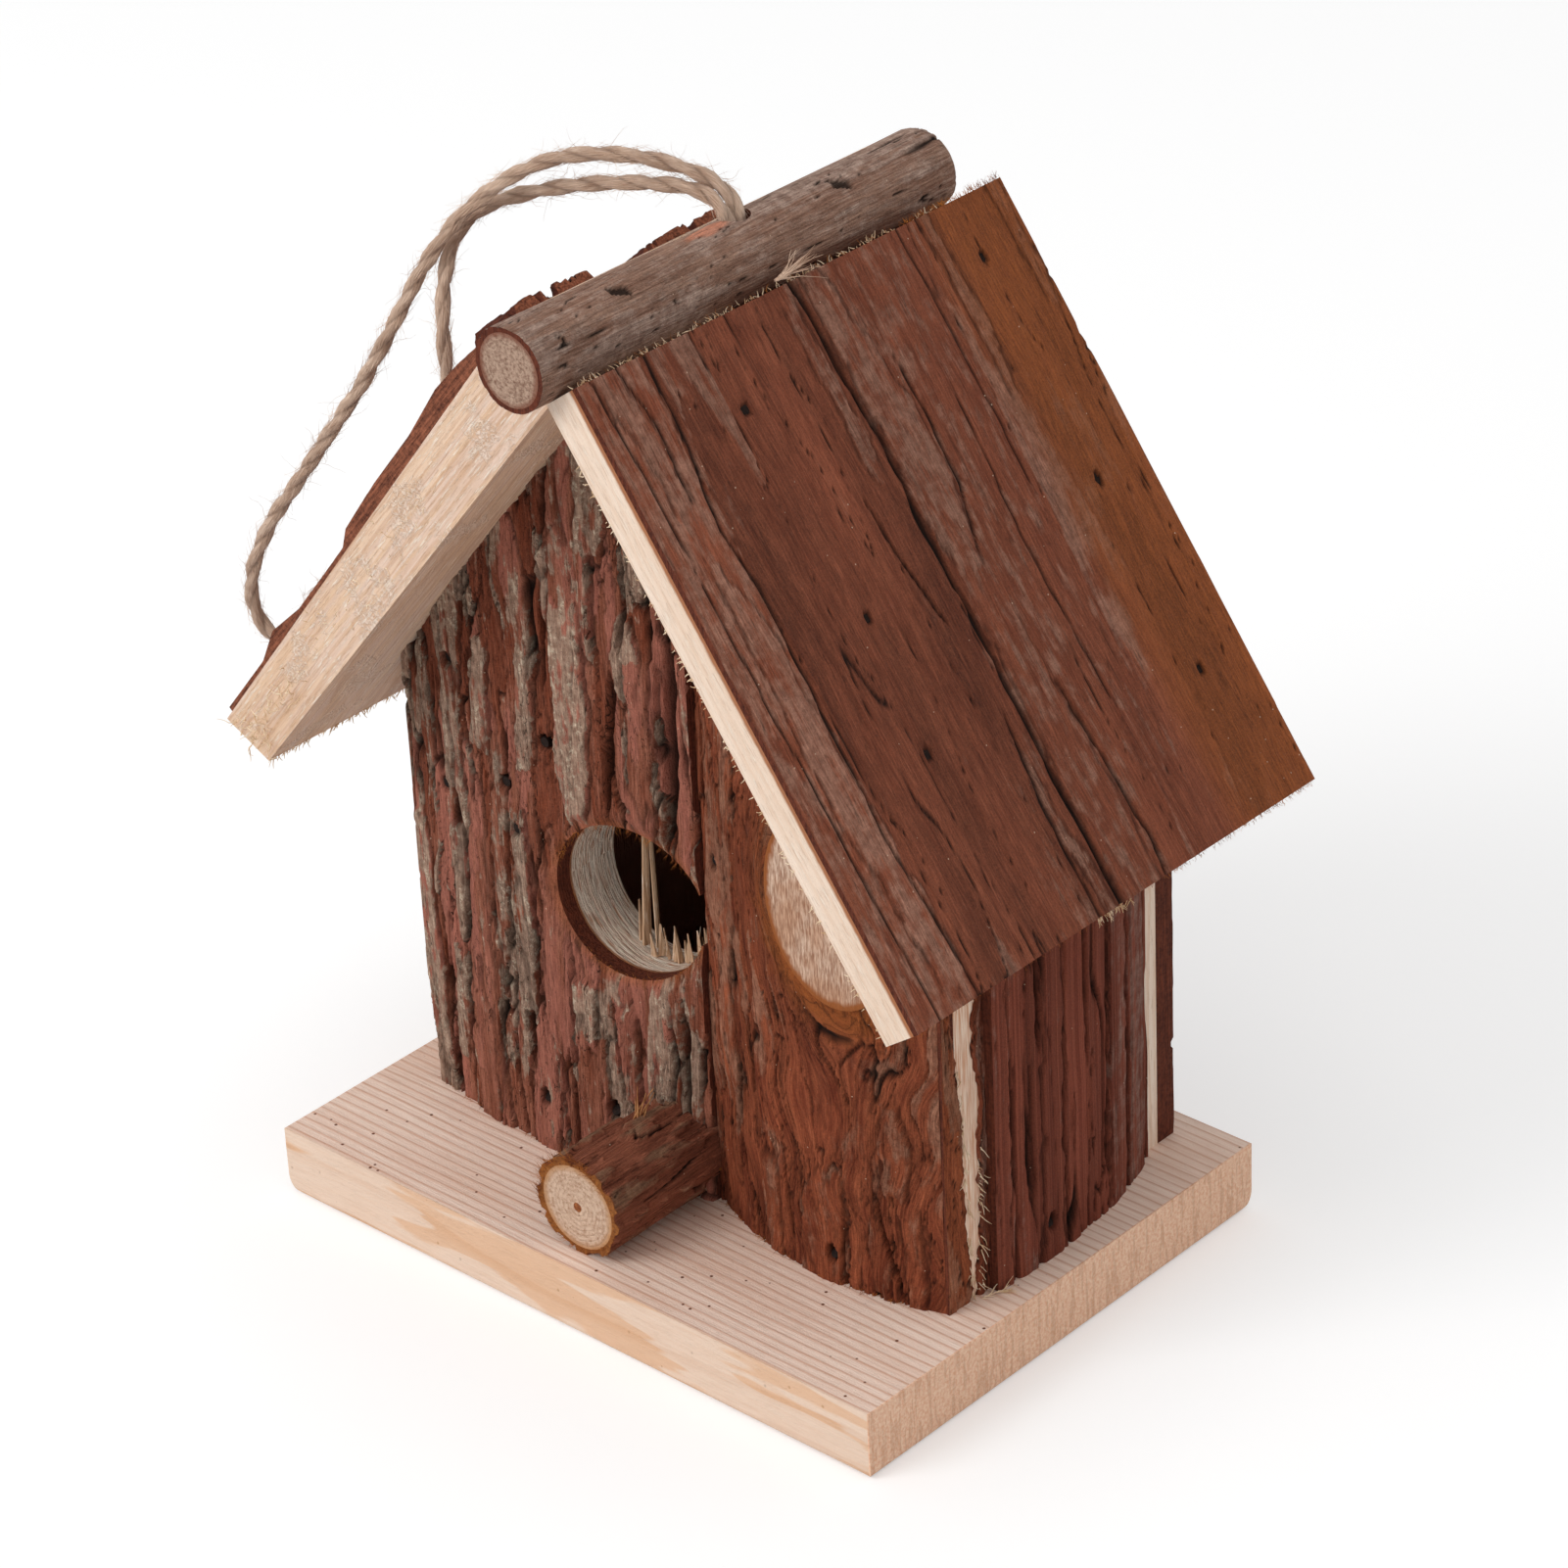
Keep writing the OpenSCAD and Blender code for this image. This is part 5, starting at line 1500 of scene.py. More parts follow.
RIGHT_ROOF_SEAMS = [
    ([(-9, -0.4), (24, -0.8), (54, -0.2), (72, -0.5), (89, 0.2), (104, -0.8),
      (119, -1.3), (128, -3)], 2.0, 1.1),
    ([(-4, -6.2), (16, -6.6), (40, -4.6)], 0.9, 0.7),
    ([(56, -5.5), (67, -8.4), (84, -10)], 0.8, 0.8),
    ([(86, -50.8), (105, -50.8), (128, -52)], 0.7, 0.6),
    ([(-5, -49), (40, -50), (84, -50.7)], 0.6, 0.5),
    ([(96, -44.4), (110, -43.3), (128, -46)], 0.6, 0.5),
    ([(-5, -38.4), (30, -41.2), (52, -40.5), (79, -40), (90, -41.4), (106, -39.4),
      (128, -38)], 0.9, 0.6),
    ([(66, 8.4), (78, 11.7), (89, 12.7), (103, 11.8)], 0.9, 0.7),
    ([(-5, 11.8), (6.8, 12.9), (20, 12), (40, 10)], 1.2, 1.0),
    ([(30, 20), (60, 19), (96, 21)], 0.5, 0.5),
    ([(70, 27), (104, 27), (128, 26)], 0.6, 0.5),
]
RIGHT_ROOF_FLAKES = [
    ([(86, -4, 1.6), (103, -4.2, 1.8), (118, -4.2, 1.4)], 0.25, 0.7, -0.1),
    ([(98, -46.5, 2.2), (111, -46.4, 2.8), (122, -48.6, 2.6)], 0.25, 0.85, 0.2),
    ([(6, -42.4, 3.4), (23, -43.4, 3.6), (43, -44.8, 3.6), (56, -45.2, 3.2),
      (73, -45, 2.6), (83, -46.9, 1.2)], 0.3, 0.85, 0.6),
    ([(66, 4.6, 3.4), (75, 5.4, 5), (92, 6, 5), (110, 3.8, 3.6), (122, 3, 2.4)],
     0.35, 0.75, 0.1),
    ([(0, 5.4, 5.2), (20, 5.6, 5.4), (50, 5, 4)], 0.3, 0.4, 0.0),
    ([(0, -2.8, 1.3), (14, -5.2, 1.5), (26, -5, 1.2)], 0.15, 0.9, -0.15),
    ([(88, 33.6, 1.2), (101, 34.3, 1.6), (122, 33.2, 1.4)], 0.1, 0.8, 0.0),
    ([(100, 52.9, 1.5), (122, 52.4, 1.5)], 0.1, 0.7, 0.0),
]
RIGHT_ROOF_ZONES = [
    ([(-5, -47.5, 9), (60, -47.6, 7.5), (128, -48, 8.5)], 0.0, 0.6, 0.6),
    ([(-5, 6.5, 7), (60, 9, 9), (128, 10, 10)], 0.0, 0.42, 0.05),
    ([(20, 22, 5), (70, 22, 6), (128, 24, 6)], 0.0, 0.25, 0.0),
]


class BIRDHOUSE_OT_roof_bark(bpy.types.Operator):
    """Grows the flaked bark of the left roof and the smooth bark of the right roof"""
    bl_idname = "birdhouse.roof_bark"
    bl_label = "Roof bark"

    def execute(self, context):
        self.left()
        self.right()
        return {"FINISHED"}

    def left(self):
        pits = [(y, LEFT_LENGTH - down, 1.4, 1.6, 1.6) for y in (-20, 44) for down in (34, 94)]
        bark = FlakedBark(131.5, 0.25, plate=(6.5, 44), lift=1.0, crack=1.5, width=0.08,
                          grey=0.42, wander=2.0, rough=0.15, pits=pits)
        cell = cells(1.15)
        bm = sheet_blank(LEFT_DEPTH, (0, 0.95 * LEFT_LENGTH), cell)
        thicken(bm, bark, on_left_roof, cell, keep=400)
        bark_piece("left_roof_flaked_bark", bm, "dark bark", "left_roof_bark",
                   "sloped cut bark")

    def right(self):
        spots = [(-24, 16.1), (-21.5, 57.4), (-23.8, 82.5), (42.2, 55.8), (42.7, 94.4),
                 (42.4, 11.5)]
        pits = [(y, RIGHT_LENGTH - down, 0.95, 1.35, 1.2) for y, down in spots]
        bark = Bark(171.5, RIGHT_BARK - 0.2, plate=(9, 150), lift=0.25, crack=0.4,
                    width=0.012, grey=0.12, wander=1.4, rough=0.05, seams=RIGHT_ROOF_SEAMS,
                    flakes=RIGHT_ROOF_ZONES + RIGHT_ROOF_FLAKES, pits=pits, fissure=0.12,
                    warm=lambda u, v: 0.95 * ramp(27, 40, u + 2.5 * wave(u / 6, v / 30, 9)))
        cell = cells(1.15)
        bm = sheet_blank(RIGHT_DEPTH, (0, RIGHT_LENGTH), cell)
        thicken(bm, bark, on_right_roof, cell, keep=400)
        bark_piece("right_roof_smooth_bark", bm, "roof bark", "right_roof_bark")


class FlakedBark(Bark):
    """Bark that has come off in plates, with the outline seen on the roof's front edge."""
    # Shares of the roof's length and of the thickest bark
    profile = [
        (0, 0.25), (0.13, 0.2), (0.19, 0.7), (0.27, 0.25), (0.43, 0.2), (0.46, 0.65),
        (0.57, 0.8), (0.69, 0.75), (0.79, 1), (0.86, 0.8), (0.92, 0.45), (0.95, 0.22)]

    def layers(self, u, v):
        """The outline at the front edge, which shifts and varies towards the back."""
        away = ramp(LEFT_DEPTH[0], LEFT_DEPTH[0] + 14, u)
        shift = 7 * away * wave(u / 13, v / 60, 141)
        (share,) = along_line(self.profile, (v + shift) / LEFT_LENGTH)
        share *= 1 + 0.5 * away * wave(u / 9, v / 30, 147)
        share *= 1 - 0.75 * ramp(40, 43, u) * ramp(96, 104, v)
        torn = wave(u / 4.5, v / 9, 151) + 0.5 * wave(u / 1.6, v / 3, 153)
        near = ramp(-43, -38, u) * (1 - ramp(-20, -14, u)) + ramp(-8, -4, u) * (
            1 - ramp(14, 18, u))
        torn += 0.35 * wave(u / 0.8, v / 2, 157)
        raised = 0.8 * near * ramp(107, 113, v + 4 * torn) * ramp(-0.35, 0.0, torn)
        return LEFT_BARK * share, LEFT_BARK * raised

    def at(self, u, v):
        height, (outer, crack, tone, warm), across = super().at(u, v)
        share, raised = self.layers(u, v)
        calm = 0.35 + 0.65 * ramp(LEFT_DEPTH[0], LEFT_DEPTH[0] + 6, u)
        dark = ramp(0.2, 2, raised)
        looks = (outer * (1 - dark), max(crack, 0.5 * dark), tone - 0.3 * dark, warm)
        return max(0.2, share + raised + calm * (height - 0.25)), looks, across


class BIRDHOUSE_OT_round_bark(bpy.types.Operator):
    """Grows the thin bark of the ridge log and of the perch"""
    bl_idname = "birdhouse.round_bark"
    bl_label = "Log and perch bark"

    def execute(self, context):
        self.ridge()
        self.perch()
        return {"FINISHED"}

    def ridge(self):
        outer_radius = RIDGE_CORE + RIDGE_BARK
        girth = 2 * math.pi * outer_radius
        cell = (0.42 * coarse(), 0.6 * coarse())
        bm = sheet_blank((0, girth), RIDGE_SPAN, cell)
        hole = (girth * (180 + 10) / 360, -2)
        bore(bm, hole, 3.3, 3.2, cell)

        def worn(u, v):
            """The salmon patch that the twine has rubbed on top of the log."""
            off = math.hypot((u - girth * 182 / 360) / 2.1, (v + 9.5) / 6)
            return 1 - ramp(0.6, 1.1, off + 0.3 * wave(u, v / 3, 3))
        bark = RoundBark(211.5, RIDGE_BARK, outer_radius, plate=(6, 40), lift=0.16, crack=0.3,
                         width=0.03, grey=0.95, rough=0.1, warm=worn,
                         pits=[(hole[0] - 5, -35.7, 1.1, 1.9, 0.6),
                               (hole[0] - 5, 21, 1.1, 1.9, 0.6)])

        def place(u, v, height):
            angle = 2 * math.pi * u / girth - math.pi / 2
            radius = RIDGE_CORE + height
            back = ramp(RIDGE_SPAN[1] - 2.4, RIDGE_SPAN[1], v)
            radius -= 0.55 * back * back * (height > 0)
            return Vector((RIDGE[0] + radius * math.cos(angle), v,
                           RIDGE[2] + radius * math.sin(angle)))
        rolled(bm, bark, place)
        grey = bark_material("grey bark", linear(172, 136, 116), linear(118, 82, 66),
                             linear(192, 164, 148), linear(134, 104, 90),
                             warm=linear(214, 138, 108), rough=0.8, fibre=0.4, flaky=0.35)
        mesh_object("ridge_grey_bark", bm, [grey, barks()["cut bark"]], ["ridge_bark"])

    def perch(self):
        outer_radius = PERCH_CORE + PERCH_BARK
        girth = 2 * math.pi * outer_radius
        cell = 0.36 * coarse()
        bm = sheet_blank((0, girth), (0, 1), (cell, cell / PERCH_REACH))
        bark = RoundBark(251.5, PERCH_BARK - 0.1, outer_radius, plate=(3.4, 12), lift=0.9,
                         crack=1.0, width=0.07, grey=0.4, rough=0.3, stretch=PERCH_REACH,
                         warm=lambda u, v: 0.9 * (1 - ramp(0.02, 0.12, v)))

        def place(u, v, height):
            angle = 2 * math.pi * u / girth - math.pi / 2
            radius = PERCH_CORE + height
            x = PERCH[0] + radius * math.cos(angle)
            slab = LEFT_ROUND if x < FRONT_JOINT else RIGHT_ROUND
            wall = on_front(*slab)(x, 0, FRONT_BARK).y + 0.4
            rag = 0.35 * wave(u / 0.9, 3, 7) + 0.25 * wave(u / 3, 1, 7)
            front = PERCH_FRONT - 0.4 * rag * (height > 0.1)
            return Vector((x, mix(front, wall, v), PERCH[1] + radius * math.sin(angle)))
        rolled(bm, bark, place)
        striped = bark_material("perch bark", linear(166, 102, 78), linear(112, 64, 48),
                                linear(158, 120, 94), linear(114, 82, 64), fibre=0.4)
        rim = cut_bark_material("perch rim", linear(176, 110, 54), linear(112, 62, 30), (0, 0, 0))
        mesh_object("perch_striped_bark", bm, [striped, rim], ["perch_bark"])


class RoundBark(Bark):
    """Bark that closes on itself: its noise is read round a cylinder."""
    def __init__(self, seed, thickness, radius, stretch=1, **looks):
        super().__init__(seed, thickness, **looks)
        self.radius = radius
        self.stretch = stretch

    def at(self, u, v):
        v *= self.stretch
        seed = self.seed
        angle = u / self.radius
        x, z = self.radius * math.cos(angle), self.radius * math.sin(angle)
        across, along = self.plate
        p = wave(x / across, v / along, z / across + seed)
        p += 0.5 * wave(x / 2.2, v / (0.4 * along), z / 2.2 + seed)
        high = ramp(0.0, 0.06, p)
        k = abs(wave(x / 3.4, v / (1.2 * along), z / 3.4 + seed + 9))
        opened = ramp(-0.2, 0.3, wave(x / 5, v / 14, z / 5 + seed))
        crack = 1 - ramp(0.35 * self.width * opened, self.width * opened + 0.002, k)
        fibre = wave(x / 0.55, v / 9, z / 0.55 + seed + 5)
        lift = self.lift * (high - 0.5) + self.rough * fibre
        lift += 0.3 * wave(x / 9, v / 22, z / 9 + seed)
        outer = mix(0.45, 1, high) * ramp(-0.6, 0.4, p + 2 * (self.grey - 0.5))
        tone = 0.5 * wave(x / 4, v / 18, z / 4 + seed + 13)
        deep = self.crack * crack
        for centre, middle, half, tall, depth in self.pits:
            off = max(abs(u - centre + 0.5 * (v - middle)) / half, abs(v - middle) / tall)
            cut = 1 - ramp(0.8, 1.1, off + 0.15 * fibre)
            crack = max(crack, 0.9 * cut)
            deep = max(deep, depth * cut)
        warm = self.warm(u, v) if self.warm else 0.0
        return max(0.2, self.thickness + lift - deep), (outer, crack, tone, warm), u


def rolled(bm, bark, place):
    """Rolls a flat sheet into a closed tube of bark with its relief outside."""
    layers = [bm.verts.layers.float.new(label) for label in BARK_LOOKS]
    flat_u = bm.verts.layers.float.new("flat_u")
    flat_v = bm.verts.layers.float.new("flat_v")
    girth = max(vert.co.x for vert in bm.verts)
    for vert in bm.verts:
        vert[flat_u] = vert.co.x % girth
        vert[flat_v] = vert.co.y
        vert.co = place(vert.co.x, vert.co.y, bark.thickness) * MM
    bmesh.ops.remove_doubles(bm, verts=bm.verts, dist=1e-6)
    grown = bmesh.ops.extrude_face_region(bm, geom=bm.faces[:])["geom"]
    top = {item for item in grown if isinstance(item, bmesh.types.BMVert)}
    for vert in bm.verts:
        u, v = vert[flat_u], vert[flat_v]
        height = 0
        if vert in top:
            height, looks, _ = bark.at(u, v)
            for layer, value in zip(layers, looks):
                vert[layer] = value
        vert.co = place(u, v, height) * MM

    def grain_at(face, vert):
        """The grain map runs on past the seam, where u starts again."""
        u = vert[flat_u]
        if max(other[flat_u] for other in face.verts) - u > girth / 2:
            u += girth
        return u, vert[flat_v] * bark.stretch
    skin(bm, top, grain_at)


# Torn fibres, fuzz and splinters
def fringes(rng, rows):
    """Hairs that start at random places along lines and lean towards an aim.

    A row is (line, aim, shortest and longest, count, jitter, spread, bend).
    """
    hairs = []
    for line, aim, reach, count, jitter, spread, *bend in rows:
        for _ in range(count):
            i = rng.randrange(len(line) - 1)
            start = Vector(line[i]).lerp(Vector(line[i + 1]), rng.random())
            start += jittered(rng, jitter)
            toward = Vector(aim) + jittered(rng, spread)
            hairs.append(curl(start, toward, rng.uniform(*reach), *bend or [0.3], rng))
    return hairs


def ring_line(centre, radius, depth_at, start, end, count=24):
    """Points on an upright circle that faces the front, between two angles in degrees."""
    line = []
    for k in range(count + 1):
        angle = math.radians(mix(start, end, k / count))
        x = centre[0] + radius * math.cos(angle)
        line.append((x, depth_at(x), centre[1] + radius * math.sin(angle)))
    return line


# The torn strip of wood at the right front corner, as height, left edge and right edge
STRIP = [(14, -16.2, -14.8), (22, -16.6, -14.5), (34, -17.2, -13.7), (46, -17.6, -13.6),
         (56, -18, -13.2), (67, -18.9, -14.1), (76, -20.4, -14), (120, -21.5, -13.6)]


class BIRDHOUSE_OT_torn_strip(bpy.types.Operator):
    """Wraps ragged bark over both sides of the wood that shows at the right front corner"""
    bl_idname = "birdhouse.torn_strip"
    bl_label = "Torn strip"

    def execute(self, context):
        finish = barks()
        top = 116.5
        wood_x = FRONT_RIGHT_EDGE
        for name, looks, outer_y, seed in (("left", "knotty bark", -23.4, 301.5),
                                           ("right", "dark bark", WALL_SPAN[0], 321.5)):
            def edge(v, name=name, seed=seed):
                left, right = along_line(STRIP, v)
                rag = 1.0 * wave(v / 4, 0, seed) + 0.7 * wave(v / 1.3, 1, seed)
                return (left if name == "left" else right) + rag

            def place(u, v, height, outer_y=outer_y, edge=edge):
                thin = height * ramp(1.0, 0.8, u)
                return Vector((wood_x + 0.05 + thin, mix(outer_y, edge(v), u), v))
            bark = Bark(seed, 0.7, plate=(2.4, 16), lift=0.4, crack=0.5, width=0.08, grey=0.2,
                        rough=0.12, flow=lambda u, v: 5 * u, warm=lambda u, v: 0.2)
            bm = sheet_blank((0, 1), (BASE_TOP, top), (0.08, 0.8))
            thicken(bm, bark, place, (0.08, 0.8), keep=50)
            mesh_object(f"torn_strip_{name}_bark", bm, [finish[looks], finish["cut bark"]])
        return {"FINISHED"}


class BIRDHOUSE_OT_fibres(bpy.types.Operator):
    """Scatters torn fibres, orange fuzz, straws and splinters where the wood was cut"""
    bl_idname = "birdhouse.fibres"
    bl_label = "Fibres and splinters"

    def execute(self, context):
        rng = random.Random(11)
        orange = hair_material("orange fuzz", linear(196, 120, 52), linear(128, 66, 30), 0.3)
        cream = hair_material("cream fibre", linear(250, 230, 200), linear(214, 178, 138), 0.3)
        straw = hair_material("straw", linear(206, 150, 100), linear(150, 92, 54), 0.3)
        hair_curves("orange_fuzz", fringes(rng, self.fuzz()), 0.09, orange)
        hair_curves("torn_fibres", fringes(rng, self.torn()), 0.26, cream)
        hair_curves("straws", fringes(rng, self.straws()), 0.5, straw)
        self.splinters(rng)
        return {"FINISHED"}

    def fuzz(self):
        """Fine orange fibres of bark on the cut edges."""
        def bark_front(x):
            return on_front(*LEFT_ROUND)(x, 0, FRONT_BARK - 1.2).y

        def perch_front(x):
            return PERCH_FRONT + 0.3

        def ridge(u):
            return on_right_roof(u, RIGHT_LENGTH, 1.0)

        def eave(u):
            return on_right_roof(u, 0, 0.9)

        def foot(slab, start, end):
            return [(x, on_front(*slab)(x, 0, FRONT_BARK - 0.4).y, BASE_TOP + 0.5)
                    for x in range(start, end, 4)]
        return [
            (ring_line(PERCH, 9.3, perch_front, 40, 320), (-0.4, -1, 0.5), (0.6, 2.0), 240,
             0.5, 0.7),
            (ring_line(PERCH, 9.8, perch_front, 70, 200), (-0.5, -0.6, 1), (1.2, 3.4), 110,
             0.5, 0.6),
            (ring_line(ENTRY, ENTRY_RADIUS, bark_front, 35, 165), (0, -0.3, -1), (0.6, 2.2),
             130, 0.4, 0.7),
            (ring_line(ENTRY, ENTRY_RADIUS, bark_front, 230, 340), (0.2, -1, 0.2), (0.5, 1.4),
             100, 0.4, 0.8),
            ([ridge(28), ridge(55)], (-0.7, 0, 0.8), (0.5, 1.6), 200, 0.3, 0.6),
            ([ridge(-55), ridge(28)], (-0.7, 0, 0.8), (0.5, 1.6), 60, 0.3, 0.6),
            ([eave(14), eave(55)], (0.7, 0, -0.8), (0.4, 1.3), 170, 0.3, 0.6),
            ([eave(-54), eave(14)], (0.7, 0, -0.8), (0.3, 0.9), 60, 0.3, 0.6),
            (foot(RIGHT_ROUND, 10, 66), (0, -1, -0.1), (0.5, 1.8), 150, 0.4, 0.6),
            (foot(LEFT_ROUND, -64, 8), (0, -1, -0.1), (0.4, 1.4), 120, 0.4, 0.6),
        ]

    def torn(self):
        """Cream fibres of torn wood."""
        x = FRONT_RIGHT_EDGE + 0.4
        front = LEFT_DEPTH[0]
        left = [(x, y, z) for z, y, _ in STRIP[:6]]
        right = [(x, y, z) for z, _, y in STRIP[:4]]
        corner = [(x + 1, -16, BASE_TOP + 0.3), (x + 4, -10, BASE_TOP + 0.3)]
        low = [on_left_roof(y, 0.4, -left_wood(0)) for y in (front, 14)]
        face = [on_left_roof(front - 0.05, s, -left_wood(s) * share)
                for s, share in ((2, 0.3), (4, 0.75), (12, 0.4), (20, 0.6), (34, 0.35),
                                 (52, 0.6), (70, 0.4), (88, 0.6))]
        crumbs = [on_right_roof(y, RIGHT_LENGTH, -0.6) for y in (-54, 40)]
        eave = [on_right_roof(y, -0.2, -0.8) for y in (-6, 4)]
        edge = [on_right_roof(RIGHT_DEPTH[0], s, -RIGHT_WOOD) for s in range(2, 120, 8)]
        return [
            (left, (0.4, -0.5, -1), (0.8, 2.6), 60, 0.4, 0.4),
            (right, (0.7, 0.4, -1), (0.8, 3.0), 36, 0.4, 0.4),
            (corner, (0.6, 1, 0.1), (2, 5), 14, 0.3, 0.6),
            (low, (-0.6, 0, -1), (0.6, 2.4), 150, 0.3, 0.5, 0.15),
            (face[:4], (0.4, -0.5, 0.4), (1.5, 5.0), 90, 2.6, 0.9, 0.7),
            (face[3:], (0.5, -0.4, 0.5), (0.8, 2.6), 70, 3.4, 0.8, 0.6),
            (crumbs, (-0.7, 0, 0.6), (0.4, 1.4), 170, 0.4, 0.7),
            (eave, (0.6, 0, -1), (0.6, 2.0), 34, 0.4, 0.6),
            (edge, (-0.4, -0.7, -0.2), (0.3, 1.2), 90, 0.2, 0.6),
        ]

    def straws(self):
        """Single stiff fibres: behind the perch and under the left eave."""
        return [
            ([(-2.6, -31.5, 33.5), (-1, -31.5, 34)], (0.42, -0.05, 1), (5, 10), 8, 0.5, 0.16,
             0.06),
            ([(-56, -22, 110.5), (-57, -24, 109)], (-0.35, 0, -1), (6, 12), 3, 0.4, 0.2, 0.06),
        ]

    def splinters(self, rng):
        """Pale splinters that stand in the entry hole."""
        bm = bmesh.new()
        tall = [((-12.6, -15.5, 59.8), 31.2, 1.25, 0.7, (0.05, 0, 1)),
                ((-10.6, -14.4, 59.4), 31.6, 0.7, 0.5, (-0.02, 0, 1)),
                ((-13.8, -15.5, 60.4), 9, 0.8, 0.2, (-0.02, 0, 1))]
        for k in range(22):
            angle = math.radians(-96 + 3.8 * k)
            foot = (ENTRY.x + 15.8 * math.cos(angle), -15.5 - 1.8 * rng.random(),
                    ENTRY.y + 15.8 * math.sin(angle))
            lean = (rng.uniform(-0.35, 0.15), rng.uniform(-0.2, 0.2), 1)
            size = rng.uniform(0.4, 1.0)
            tall.append((foot, rng.uniform(2.0, 7.5), size, 0.2 * size, lean))
        for foot, length, wide, tip, lean in tall:
            turn = Vector(lean).to_track_quat("Z", "Y").to_matrix().to_4x4()
            place = Matrix.Translation(Vector(foot) * MM) @ turn @ Matrix.Translation(
                (0, 0, length / 2 * MM)) @ Matrix.Diagonal((1, 0.4, 1, 1))
            bmesh.ops.create_cone(bm, segments=6, radius1=wide * MM, radius2=tip * MM,
                                  depth=length * MM, cap_ends=True, matrix=place)
        wood = sawn_wood_material("splinter wood", grain_turn((0, 0, 1), (1, 0, 0)),
                                  linear(226, 190, 156), linear(160, 116, 82), 0.9, 0.4)
        mesh_object("entry_splinters", bm, [wood])


# Sawn wood, end grain and steel on the frame's own nodes
def dress(node, material):
    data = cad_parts[node].data
    data.materials.clear()
    data.materials.append(material)


class BIRDHOUSE_OT_sawn_wood(bpy.types.Operator):
    """Finishes the base board, the slabs and the stubs in sawn wood"""
    bl_idname = "birdhouse.sawn_wood"
    bl_label = "Sawn wood"

    def execute(self, context):
        looks = context.scene.birdhouse_wood
        ring = looks.ring / MM
        board = sawn_wood_material("board wood", grain_turn((1, 0, 0), (0, 1, 0)), looks.board,
                                   looks.board_line, ring, 0.25, 0.8, line_share=0.6,
                                   dirt=0.12, torn=0.25, sharp=3.0)
        add_board_faces(board)
        left = sawn_wood_material(
            "left roof wood", grain_turn(LEFT_UP, LEFT_OUT),
            linear(236, 208, 190), linear(208, 166, 130), 2.6, 0.15, 2.0, line_share=0.45,
            torn=0.6, bands=0.5, under=(on_left_roof(0, 0, -2), LEFT_OUT))
        right = sawn_wood_material(
            "right roof wood", grain_turn(RIGHT_UP, RIGHT_OUT), looks.cream, looks.line, 2.2,
            0.15, 1.5, line_share=0.25, amber=(on_right_roof(0, 0, 0), RIGHT_OUT))
        walls = [sawn_wood_material(name, grain_turn((0, 0, 1), (0, 1, 0)), looks.cream,
                                    looks.line, 1.9, 0.3)
                 for name in ("wall wood", "bored wood", "knotty wood")]
        upright, bored_wood, knotty = walls
        add_bore(bored_wood)
        add_knot(knotty)
        for node, wood in (
                ("base_board", board), ("left_wall_slab", upright),
                ("right_wall_slab", upright), ("back_left_slab", upright),
                ("back_right_slab", upright), ("front_left_slab", bored_wood),
                ("front_right_slab", knotty), ("left_roof_slab", left),
                ("right_roof_slab", right)):
            dress(node, wood)
        dress("ridge_log", log_end_material(
            "log end", (RIDGE[0], RIDGE[2]), RIDGE_CORE, linear(206, 174, 152),
            linear(122, 82, 62), linear(132, 74, 52), 0.8, 0.12))
        dress("perch_core", log_end_material(
            "perch end", PERCH, PERCH_CORE, linear(240, 208, 182),
            linear(192, 146, 116), linear(206, 146, 92), 1.0, 0.2))
        return {"FINISHED"}


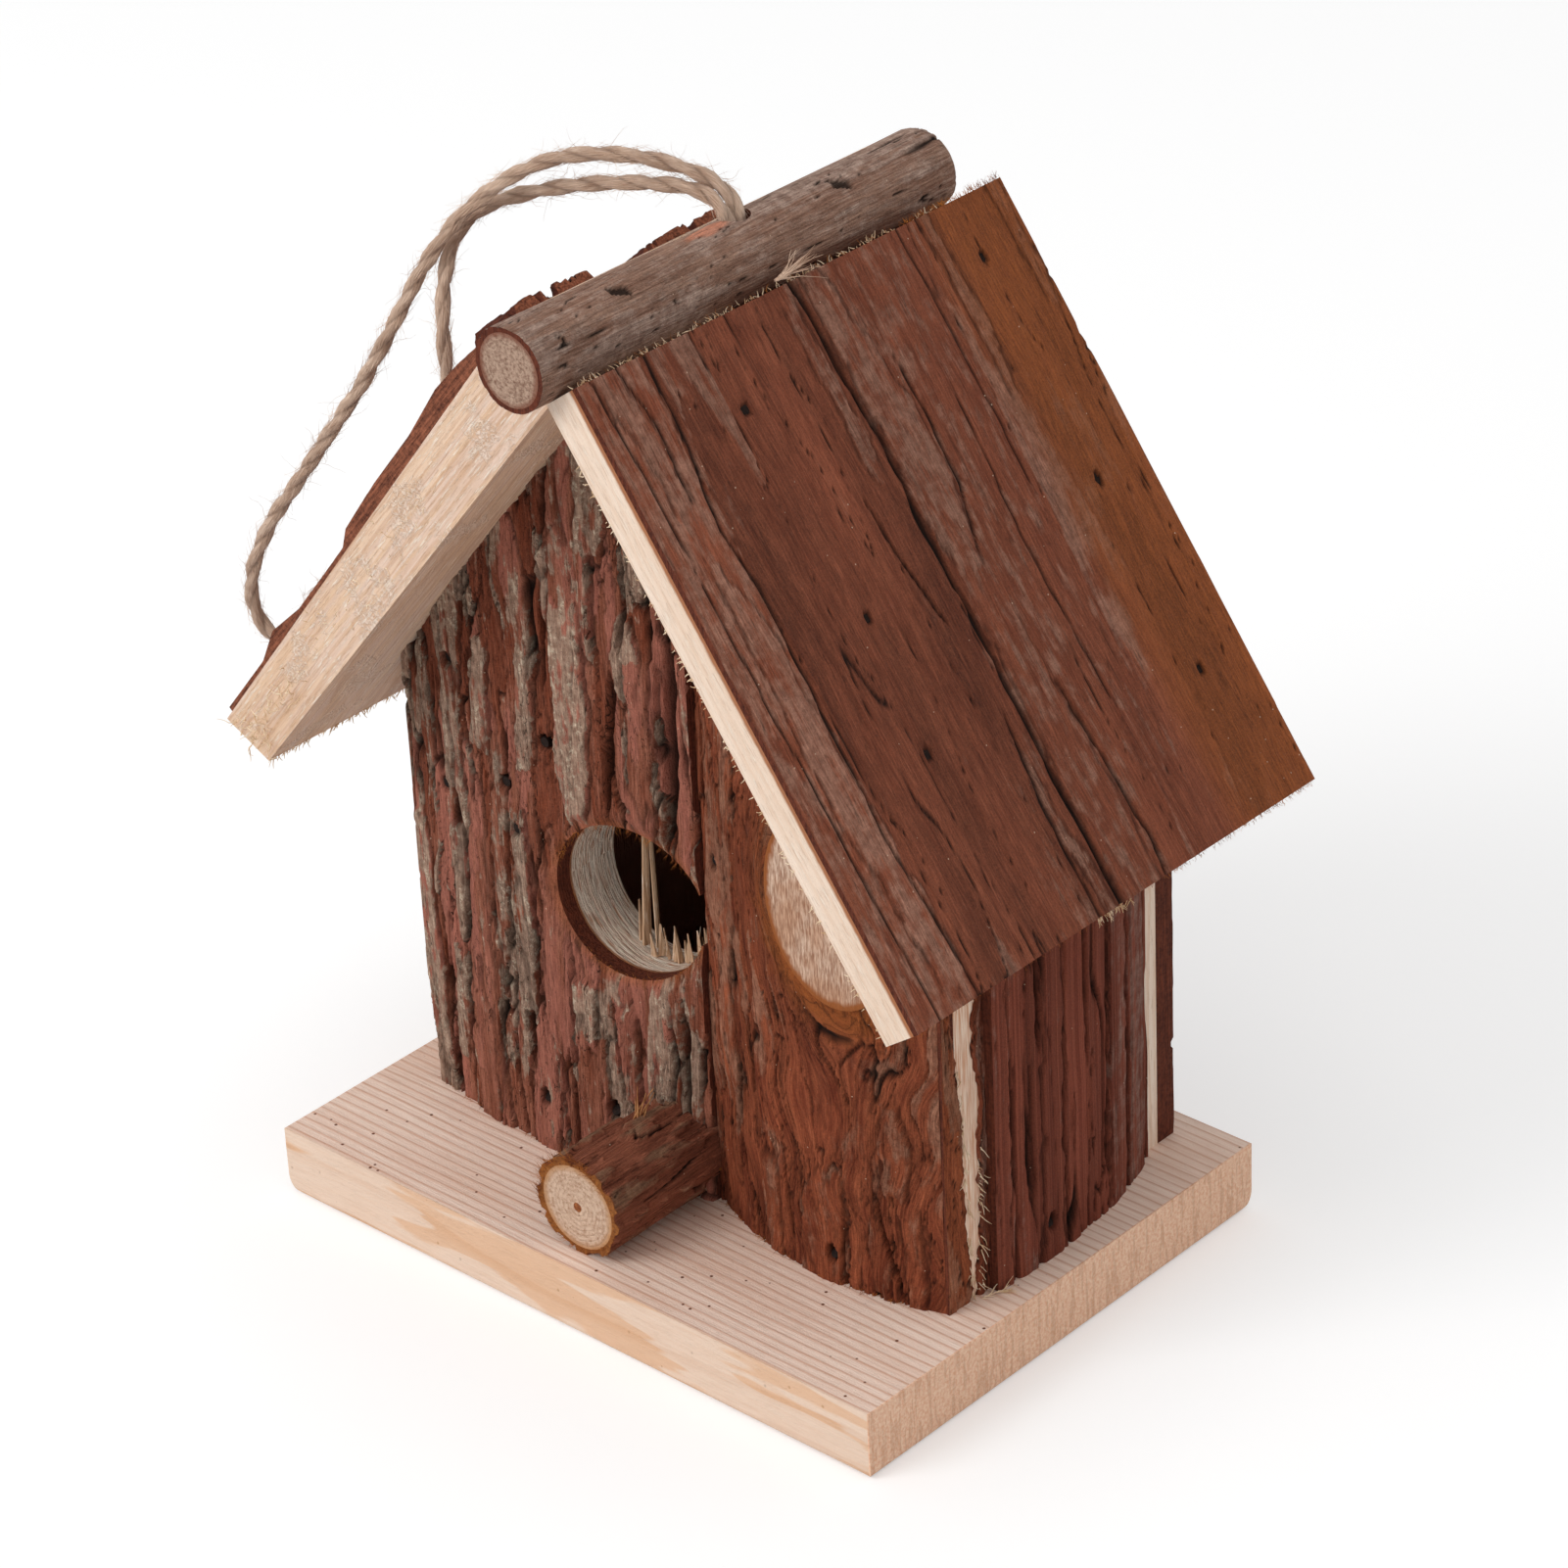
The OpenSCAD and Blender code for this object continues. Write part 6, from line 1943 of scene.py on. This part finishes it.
class BIRDHOUSE_OT_brads(bpy.types.Operator):
    """Finishes the brads and nails in dull dark steel"""
    bl_idname = "birdhouse.brads"
    bl_label = "Brads and nails"

    def execute(self, context):
        steel = steel_material("dark steel", linear(46, 30, 24), linear(20, 12, 9))
        for node in ("front_brads", "side_brads", "back_brads", "left_roof_nails",
                     "right_roof_brads", "ridge_nails", "base_nails"):
            dress(node, steel)
        dress("perch_nail", steel_material("rusty steel", linear(176, 106, 60),
                                           linear(116, 62, 34)))
        return {"FINISHED"}


STEPS = (
    BIRDHOUSE_OT_stage, BIRDHOUSE_OT_twine, BIRDHOUSE_OT_front_left_bark,
    BIRDHOUSE_OT_front_right_bark, BIRDHOUSE_OT_side_bark, BIRDHOUSE_OT_back_bark,
    BIRDHOUSE_OT_roof_bark, BIRDHOUSE_OT_round_bark, BIRDHOUSE_OT_torn_strip,
    BIRDHOUSE_OT_fibres, BIRDHOUSE_OT_sawn_wood, BIRDHOUSE_OT_brads,
)
LOOKS = {
    "birdhouse_view": BirdhouseView, "birdhouse_light": BirdhouseLight,
    "birdhouse_bark": BirdhouseBark, "birdhouse_wood": BirdhouseWood,
    "birdhouse_twine": BirdhouseTwine,
}


class BIRDHOUSE_PT_panel(bpy.types.Panel):
    """Lists the birdhouse's pieces and their sizes and colours"""
    bl_idname = "BIRDHOUSE_PT_panel"
    bl_label = "Rustic birdhouse"
    bl_space_type = "VIEW_3D"
    bl_region_type = "UI"
    bl_category = "Birdhouse"

    def draw(self, context):
        for kind in STEPS:
            self.layout.operator(kind.bl_idname)
        for label, group in LOOKS.items():
            box = self.layout.box()
            for field in group.__annotations__:
                box.prop(getattr(context.scene, label), field)


def register():
    for group in LOOKS.values():
        bpy.utils.register_class(group)
    for label, group in LOOKS.items():
        setattr(bpy.types.Scene, label, bpy.props.PointerProperty(type=group))
    for kind in STEPS:
        bpy.utils.register_class(kind)
    bpy.utils.register_class(BIRDHOUSE_PT_panel)


def unregister():
    bpy.utils.unregister_class(BIRDHOUSE_PT_panel)
    for kind in reversed(STEPS):
        bpy.utils.unregister_class(kind)
    for label in LOOKS:
        delattr(bpy.types.Scene, label)
    for group in LOOKS.values():
        bpy.utils.unregister_class(group)


def main():
    register()
    for kind in STEPS:
        operator = getattr(bpy.ops.birdhouse, kind.bl_idname.split(".")[1])
        operator()


if __name__ == "__main__":
    main()
